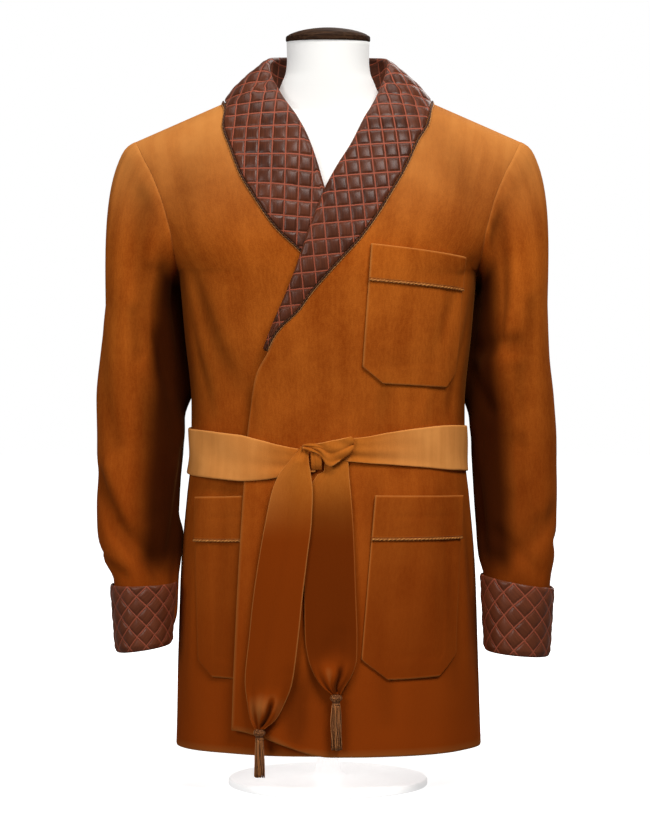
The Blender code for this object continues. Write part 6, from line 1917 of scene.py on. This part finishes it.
def cord_material(name, dark, light, edge, turns):
    """Twisted thread, with the second colour on the thin edge cord."""
    made, tree, shader, place, cloth = start_material(
        name, 0.6, Sheen_Weight=0.15, Sheen_Roughness=0.4,
        Sheen_Tint=rgb((0.9, 0.5, 0.3)), Specular_IOR_Level=0.2)
    twist = effect(tree, "Twisted strands", {"Along Cord": cloth, "Turns per Metre": turns,
                   "Strands": 2.0})
    speck = node(tree, "ShaderNodeTexNoise", {"Vector": place, "Scale": 420.0, "Detail": 2.0})
    # Painted highlight on the strands' crowns and painted shade in the grooves between them
    tone = maths(tree, "MULTIPLY", twist["Crown"], span(tree, speck.outputs["Fac"], 0.25, 0.7))
    colour = mixed(tree, tone, rgb(dark), rgb(light))
    colour = mixed(tree, twist["Second Colour"], colour, rgb(edge))
    tree.links.new(colour, shader.inputs["Base Color"])
    set_bump(tree, shader, twist["Height"], 0.0006, 0.8)
    return made


def jersey_material(name, colour, shade):
    """Fine matt jersey drawn over the form, made to glow a little by emission as painted light."""
    made, tree, shader, _, cloth = start_material(
        name, 0.8, Specular_IOR_Level=0.2, Emission_Color=rgb(colour), Emission_Strength=0.22)
    weave = effect(tree, "Fine weave", {"Along Cloth": cloth, "Threads per Metre": 700.0})
    tree.links.new(mixed(tree, maths(tree, "MULTIPLY", weave["Tone"], 0.35), rgb(colour),
                         rgb(shade)), shader.inputs["Base Color"])
    set_bump(tree, shader, weave["Height"], 0.0002, 0.4)
    return made


def wood_material(name, dark, light):
    """Dark stained wood under lacquer, its grain in rings from the turning."""
    made, tree, shader, place, _ = start_material(
        name, 0.55, Coat_Weight=0.01, Coat_Roughness=0.3, Specular_IOR_Level=0.02)
    stretched = node(tree, "ShaderNodeMapping", {"Vector": place, "Scale": (1.0, 6.0, 9.0)})
    grain = node(tree, "ShaderNodeTexNoise", {"Vector": stretched.outputs[0], "Scale": 38.0,
                 "Detail": 6.0, "Roughness": 0.6, "Distortion": 0.6})
    tone = span(tree, grain.outputs["Fac"], 0.35, 0.65)
    tree.links.new(mixed(tree, tone, rgb(dark), rgb(light)), shader.inputs["Base Color"])
    set_bump(tree, shader, grain.outputs["Fac"], 0.0003, 0.3)
    return made


def paint_material(name, colour, wear_and_painted_light):
    """Satin paint with faint scuffs, made to glow by emission as painted light."""
    made, tree, shader, place, _ = start_material(
        name, 0.5, Specular_IOR_Level=0.3, Emission_Color=rgb(colour), Emission_Strength=0.55)
    scuff = node(tree, "ShaderNodeTexNoise", {"Vector": place, "Scale": 30.0, "Detail": 7.0,
                 "Roughness": 0.65})
    mask = span(tree, scuff.outputs["Fac"], 0.58, 0.72)
    tree.links.new(mixed(tree, maths(tree, "MULTIPLY", mask, 0.4), rgb(colour), rgb(wear_and_painted_light)),
                   shader.inputs["Base Color"])
    tree.links.new(span(tree, scuff.outputs["Fac"], 0.3, 0.7, 0.36, 0.5),
                   shader.inputs["Roughness"])
    set_bump(tree, shader, scuff.outputs["Fac"], 0.0002, 0.25)
    return made


def floor_material(name, colour):
    """A pale floor that turns into the white backdrop away from what stands on it."""
    made, tree, shader, place, _ = start_material(name, 0.9, Specular_IOR_Level=0.1,
                                                  Emission_Color=(1.0, 1.0, 1.0, 1.0))
    away = node(tree, "ShaderNodeVectorMath", {0: place}, operation="LENGTH").outputs["Value"]
    tree.links.new(span(tree, away, 0.2, 1.3, 0.64, 1.05), shader.inputs["Emission Strength"])
    tone = node(tree, "ShaderNodeTexNoise", {"Vector": place, "Scale": 3.0, "Detail": 3.0})
    near = tuple(c * 0.985 for c in colour[:3])
    tree.links.new(mixed(tree, tone.outputs["Fac"], rgb(colour), rgb(near)),
                   shader.inputs["Base Color"])
    return made


class JacketSizes(bpy.types.PropertyGroup):
    """Sizes and counts that a user may change"""
    cell_width: bpy.props.FloatProperty(
        name="Quilt cell width", description="Width of one quilted cell of the collar",
        default=0.0165, min=0.008, max=0.04, unit="LENGTH")
    cell_height: bpy.props.FloatProperty(
        name="Quilt cell height", description="Height of one quilted cell of the collar",
        default=0.0190, min=0.008, max=0.04, unit="LENGTH")
    collar_puff: bpy.props.FloatProperty(
        name="Collar puff", description="How far the collar's quilting stands up",
        default=0.0013, min=0.0, max=0.004, unit="LENGTH")
    cuff_puff: bpy.props.FloatProperty(
        name="Cuff puff", description="How far the cuffs' quilting stands up",
        default=0.0016, min=0.0, max=0.004, unit="LENGTH")
    strands: bpy.props.IntProperty(
        name="Tassel strands", description="Strands that hang from each tassel's head",
        default=64, min=12, max=120)
    cord_pitch: bpy.props.FloatProperty(
        name="Cord turns", description="Turns of the piping's twist in each metre",
        default=190.0, min=60.0, max=500.0)
    stand_sides: bpy.props.IntProperty(
        name="Stand sides", description="Sides of the turned cap, pole and base",
        default=96, min=24, max=160)
    floor_width: bpy.props.FloatProperty(
        name="Floor width", description="Width of the pale floor", default=14.0, min=2.0,
        unit="LENGTH")


def colour_property(name, description, default):
    """A colour that a user may change."""
    return bpy.props.FloatVectorProperty(
        name=name, description=description, default=default, size=3, min=0.0, max=1.0,
        subtype="COLOR")


class JacketColours(bpy.types.PropertyGroup):
    """Colours that a user may change"""
    velvet_deep: colour_property("Velvet, deep", "Nap that lies away", (0.245, 0.040, 0.0022))
    velvet_light: colour_property("Velvet, light", "Nap that lies toward", (0.520, 0.130, 0.0130))
    # Painted shade toward the hem, and the dark of painted shade in hollows
    velvet_low_painted_shade: colour_property("Velvet, low", "Nap near the hem", (0.270, 0.044, 0.0028))
    # Tints the sheen, and is the painted highlight on the shoulders and edges
    velvet_sheen: colour_property("Velvet, pale", "Nap on the shoulders", (0.600, 0.250, 0.062))
    belt_deep: colour_property("Belt, deep", "Belt nap that lies away", (0.400, 0.100, 0.009))
    belt_light: colour_property("Belt, light", "Belt nap that lies toward", (0.560, 0.170, 0.022))
    # Tints the belt's sheen, and is the painted highlight toward its sides and edges
    belt_painted_highlight: colour_property("Belt, pale", "Belt nap at the sides", (0.86, 0.36, 0.095))
    cell: colour_property("Quilt", "Satin inside the cells", (0.042, 0.0105, 0.0042))
    cell_light: colour_property("Quilt, light", "Satin where it catches light",
                                (0.165, 0.044, 0.018))
    stitch: colour_property("Stitching", "Raised stitched lines", (0.380, 0.085, 0.042))
    # The piping's dark and light colours are painted shade between strands and a painted highlight
    # on them
    cord_dark: colour_property("Cord, dark", "Piping between its strands", (0.034, 0.010, 0.004))
    cord_light: colour_property("Cord, light", "Piping on its strands", (0.130, 0.042, 0.014))
    cord_edge: colour_property("Cord edge", "Thin light edge by the piping", (0.62, 0.27, 0.08))
    pocket_cord_dark: colour_property("Pocket cord, dark", "Between its strands",
                                      (0.300, 0.095, 0.016))
    pocket_cord_light: colour_property("Pocket cord, light", "On its strands",
                                       (0.720, 0.310, 0.075))
    # The tassel's dark and light colours are painted shade between strands and a painted highlight
    # on them
    tassel_dark: colour_property("Tassel, dark", "Thread in the tassel's depth",
                                 (0.110, 0.036, 0.011))
    tassel_light: colour_property("Tassel, light", "Thread on the tassel's outside",
                                  (0.520, 0.200, 0.062))
    jersey: colour_property("Jersey", "The form's cover", (0.88, 0.88, 0.87))
    cap_dark: colour_property("Cap, dark", "Stained wood", (0.020, 0.010, 0.006))
    cap_light: colour_property("Cap, light", "Stained wood's grain", (0.060, 0.030, 0.016))
    stand: colour_property("Stand", "Painted pole and base", (0.93, 0.93, 0.93))
    floor: colour_property("Floor", "Pale floor and backdrop", (0.92, 0.92, 0.92))


def cloth_material(name):
    """The material of that name, made from the scene's colours when it is first asked for."""
    found = bpy.data.materials.get(name)
    if found:
        return found
    c = bpy.context.scene.jacket_colours
    turns = bpy.context.scene.jacket_sizes.cord_pitch
    makers = {
        # Velvet: painted shade below 0.62 m, painted highlight above 0.66 m
        "Velvet": lambda: velvet_material(name, c.velvet_deep, c.velvet_light, c.velvet_low_painted_shade,
                                          c.velvet_sheen, (0.02, 0.62), (2, 0.66, 0.87)),
        # Belt: painted shade on the ends below the belt, painted highlight toward the sides
        "Belt velvet": lambda: velvet_material(name, c.belt_deep, c.belt_light, c.velvet_deep,
                                               c.belt_painted_highlight, (0.31, 0.41), (0, 0.03, 0.13)),
        "Quilted satin": lambda: satin_material(name, c.cell, c.cell_light, c.stitch),
        "Piping cord": lambda: cord_material(name, c.cord_dark, c.cord_light, c.cord_edge,
                                             turns),
        # Its edge colour, the deep velvet, paints the shadow line beside the pocket cord
        "Pocket cord": lambda: cord_material(name, c.pocket_cord_dark, c.pocket_cord_light,
                                             c.velvet_deep, turns),
        "Tassel thread": lambda: cord_material(name, c.tassel_dark, c.tassel_light,
                                               c.tassel_light, TASSEL_TURNS),
        "White jersey": lambda: jersey_material(name, c.jersey, (0.70, 0.70, 0.69)),
        "Neck cap wood": lambda: wood_material(name, c.cap_dark, c.cap_light),
        "Stand paint": lambda: paint_material(name, c.stand, (0.70, 0.70, 0.69)),
        "Pale floor": lambda: floor_material(name, c.floor),
    }
    return makers[name]()


def place_piece(piece, material_name, slot, *nodes):
    """Gives a finished piece its material and its place in the model."""
    piece.data.materials.clear()
    piece.data.materials.append(cloth_material(material_name))
    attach(piece, BODY_OF_ALL)
    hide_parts(*nodes)
    return piece


def velvet_sheet(piece, node_name):
    """Places a finished sheet of velvet and hides the part it replaces."""
    place_piece(piece, "Velvet", "velvet", node_name)


def look_at(place, aim):
    """The turn that points a light or camera from a place at an aim."""
    return (Vector(aim) - Vector(place)).to_track_quat("-Z", "Y")


class JACKET_OT_body(bpy.types.Operator):
    """Builds the back and the two fronts"""
    bl_idname = "jacket.body"
    bl_label = "Back and fronts"

    def execute(self, context):
        back = build_back("back_cloth")
        over = build_front("front_over_cloth", LAPEL_OVER, 1, sink=False, rise=True)
        under = build_front("front_under_cloth", LAPEL_UNDER, -1, sink=True, rise=False)
        velvet_sheet(back, "back")
        velvet_sheet(over, "front_over")
        velvet_sheet(under, "front_under")
        return {"FINISHED"}


class JACKET_OT_sleeves(bpy.types.Operator):
    """Builds the two sleeves with their creases"""
    bl_idname = "jacket.sleeves"
    bl_label = "Sleeves"

    def execute(self, context):
        # The last value is how dark each sleeve's lower part is painted as shade
        over = build_sleeve("sleeve_over_cloth", SLEEVE_OVER, CREASES_OVER, FINE_CREASES_OVER, 1,
                            0.45)
        under = build_sleeve("sleeve_under_cloth", SLEEVE_UNDER, CREASES_UNDER,
                             FINE_CREASES_UNDER, -1, 0.10)
        velvet_sheet(over, "sleeve_over")
        velvet_sheet(under, "sleeve_under")
        return {"FINISHED"}


class JACKET_OT_cuffs(bpy.types.Operator):
    """Builds the two quilted cuffs, turned back over the sleeves"""
    bl_idname = "jacket.cuffs"
    bl_label = "Quilted cuffs"

    def execute(self, context):
        height = context.scene.jacket_sizes.cuff_puff
        for name, cuff, side, flat, area in (
                ("over", CUFF_OVER, 1, (0.303, 0.119), 0.0296),
                ("under", CUFF_UNDER, -1, (0.283, 0.106), 0.0246)):
            piece = build_cuff(f"cuff_{name}_quilt", cuff, side, height)
            place_piece(piece, "Quilted satin", "quilted_satin", f"cuff_{name}")
        return {"FINISHED"}


class JACKET_OT_collar(bpy.types.Operator):
    """Builds the two halves of the quilted shawl collar"""
    bl_idname = "jacket.collar"
    bl_label = "Shawl collar"

    def execute(self, context):
        sizes = context.scene.jacket_sizes
        for name, lapel, side, sink, area in (("over", LAPEL_OVER, 1, False, 0.0460),
                                              ("under", LAPEL_UNDER, -1, True, 0.0496)):
            piece = build_collar(f"collar_{name}_quilt", lapel, side, sink, sizes.cell_width,
                                 sizes.cell_height, sizes.collar_puff)
            place_piece(piece, "Quilted satin", "quilted_satin", f"collar_{name}")
        return {"FINISHED"}


class JACKET_OT_piping(bpy.types.Operator):
    """Lays the twisted cord along the collar's outer edge"""
    bl_idname = "jacket.piping"
    bl_label = "Collar piping"

    def execute(self, context):
        for name, lapel, side, sink in (("over", LAPEL_OVER, 1, False),
                                        ("under", LAPEL_UNDER, -1, True)):
            piece = build_collar_piping(f"collar_piping_{name}_cord", lapel, side, sink)
            place_piece(piece, "Piping cord", "piping_cord", f"collar_piping_{name}")
        return {"FINISHED"}


class JACKET_OT_pockets(bpy.types.Operator):
    """Builds the three patch pockets with their turned-over bands and cords"""
    bl_idname = "jacket.pockets"
    bl_label = "Patch pockets"

    def execute(self, context):
        for pocket in POCKETS:
            patch, band, cord = build_pocket(pocket)
            velvet_sheet(patch, pocket.name)
            velvet_sheet(band, pocket.name + "_band")
            place_piece(cord, "Pocket cord", "piping_cord", pocket.name + "_piping")
        return {"FINISHED"}


class JACKET_OT_belt(bpy.types.Operator):
    """Builds the belt round the waist"""
    bl_idname = "jacket.belt"
    bl_label = "Belt"

    def execute(self, context):
        belt = build_belt("belt_cloth")
        place_piece(belt, "Belt velvet", "belt_velvet", "belt")
        return {"FINISHED"}


class JACKET_OT_knot(bpy.types.Operator):
    """Builds the knot's folded wing and its wrap"""
    bl_idname = "jacket.knot"
    bl_label = "Knot"

    def execute(self, context):
        wing, wrap = build_knot()
        place_piece(wing, "Belt velvet", "belt_velvet", "knot_wing")
        place_piece(wrap, "Belt velvet", "belt_velvet", "knot_wrap")
        return {"FINISHED"}


class JACKET_OT_tails(bpy.types.Operator):
    """Builds the belt's two hanging ends"""
    bl_idname = "jacket.tails"
    bl_label = "Belt ends"

    def execute(self, context):
        # The fifth value is how dark each end is painted as shade below the knot
        for name, table, place, depth, painted_shade, flat, area in (
                ("front", TAIL_FRONT, 0.30, 0.0026, 0.10, (0.064, 0.359), 0.0194),
                ("rear", TAIL_REAR, 0.62, 0.0022, 0.40, (0.065, 0.307), 0.0164)):
            piece = build_tail(f"tail_{name}_cloth", table, place, depth, painted_shade)
            place_piece(piece, "Belt velvet", "belt_velvet", f"tail_{name}")
        return {"FINISHED"}


class JACKET_OT_tassels(bpy.types.Operator):
    """Builds the two tassels"""
    bl_idname = "jacket.tassels"
    bl_label = "Tassels"

    def execute(self, context):
        strands = context.scene.jacket_sizes.strands
        for name, table, length, seed in (("front", TAIL_FRONT, TASSEL_FRONT_LENGTH, 3),
                                          ("rear", TAIL_REAR, TASSEL_REAR_LENGTH, 8)):
            piece = build_tassel(f"tassel_{name}_threads", table, length, strands, seed)
            place_piece(piece, "Tassel thread", "tassel_thread", f"tassel_{name}")
        return {"FINISHED"}


class JACKET_OT_form(bpy.types.Operator):
    """Builds the dress form: torso, neck cap and stand"""
    bl_idname = "jacket.form"
    bl_label = "Dress form"

    def execute(self, context):
        sides = context.scene.jacket_sizes.stand_sides
        place_piece(build_torso("form_torso_skin"), "White jersey", "white_jersey", "form_torso")
        rise = NECK_TOP + SEAM
        cap = build_turned("form_cap_turned", [(r, rise + h) for r, h in CAP_TURNED],
                           (0, NECK_MIDDLE), sides)
        place_piece(cap, "Neck cap wood", "neck_cap_wood", "form_cap")
        stand = build_turned("form_stand_turned", STAND_TURNED, (0, 0), sides)
        place_piece(stand, "Stand paint", "stand_paint", "form_stand")
        return {"FINISHED"}


class JACKET_OT_stage(bpy.types.Operator):
    """Sets up the floor and backdrop, the lights and the camera"""
    bl_idname = "jacket.stage"
    bl_label = "Floor, lights and camera"

    def execute(self, context):
        scene = context.scene
        width = scene.jacket_sizes.floor_width
        bpy.ops.object.select_all(action="DESELECT")
        bpy.ops.mesh.primitive_plane_add(size=width, location=(0, 0, -0.0005))
        floor = context.object
        floor.name = "floor"
        bpy.ops.object.transform_apply(location=True, rotation=True, scale=True)
        floor.data.materials.append(cloth_material("Pale floor"))
        floor.visible_diffuse = False
        floor.visible_glossy = False
        for name, place, aim, size, power, colour in STAGE_LIGHTS:
            lamp = bpy.data.lights.new(name, "AREA")
            lamp.shape = "RECTANGLE"
            lamp.size, lamp.size_y = size
            lamp.energy = power
            lamp.color = colour
            holder = bpy.data.objects.new(name, lamp)
            holder.location = place
            holder.rotation_mode = "QUATERNION"
            holder.rotation_quaternion = look_at(place, aim)
            context.collection.objects.link(holder)
        world = bpy.data.worlds.new("Pale studio")
        world.use_nodes = True
        tree = world.node_tree
        back = tree.nodes["Background"]
        seen = node(tree, "ShaderNodeLightPath").outputs["Is Camera Ray"]
        tree.links.new(maths(tree, "ADD", AMBIENT, maths(tree, "MULTIPLY", seen, 1 - AMBIENT)),
                       back.inputs["Strength"])
        back.inputs["Color"].default_value = rgb(WORLD_COLOUR)
        scene.world = world
        scene.view_settings.view_transform = "Standard"
        eye = bpy.data.cameras.new("camera")
        eye.sensor_fit = "HORIZONTAL"
        eye.lens = eye.sensor_width * CAMERA_DISTANCE / FRAME_WIDTH
        holder = bpy.data.objects.new("camera", eye)
        holder.location = CAMERA_PLACE
        holder.rotation_mode = "QUATERNION"
        holder.rotation_quaternion = look_at(CAMERA_PLACE, CAMERA_AIM)
        context.collection.objects.link(holder)
        scene.camera = holder
        return {"FINISHED"}


class JACKET_PT_pieces(bpy.types.Panel):
    """Lists the jacket's pieces"""
    bl_idname = "JACKET_PT_pieces"
    bl_label = "Smoking jacket"
    bl_space_type = "VIEW_3D"
    bl_region_type = "UI"
    bl_category = "Jacket"

    def draw(self, context):
        for operator in PIECE_OPERATORS:
            self.layout.operator(operator.bl_idname)
        for group in (context.scene.jacket_sizes, context.scene.jacket_colours):
            for name in group.bl_rna.properties.keys():
                if name not in ("rna_type", "name"):
                    self.layout.prop(group, name)


PIECE_OPERATORS = (
    JACKET_OT_form, JACKET_OT_body, JACKET_OT_sleeves, JACKET_OT_cuffs, JACKET_OT_collar,
    JACKET_OT_piping, JACKET_OT_pockets, JACKET_OT_belt, JACKET_OT_knot, JACKET_OT_tails,
    JACKET_OT_tassels, JACKET_OT_stage,
)
CLASSES = (JacketSizes, JacketColours) + PIECE_OPERATORS + (JACKET_PT_pieces,)


def register():
    for made in CLASSES:
        bpy.utils.register_class(made)
    bpy.types.Scene.jacket_sizes = bpy.props.PointerProperty(type=JacketSizes)
    bpy.types.Scene.jacket_colours = bpy.props.PointerProperty(type=JacketColours)


def unregister():
    del bpy.types.Scene.jacket_colours
    del bpy.types.Scene.jacket_sizes
    for made in reversed(CLASSES):
        bpy.utils.unregister_class(made)


def main():
    register()
    for operator in PIECE_OPERATORS:
        group, name = operator.bl_idname.split(".")
        getattr(getattr(bpy.ops, group), name)()


if __name__ == "__main__":
    main()
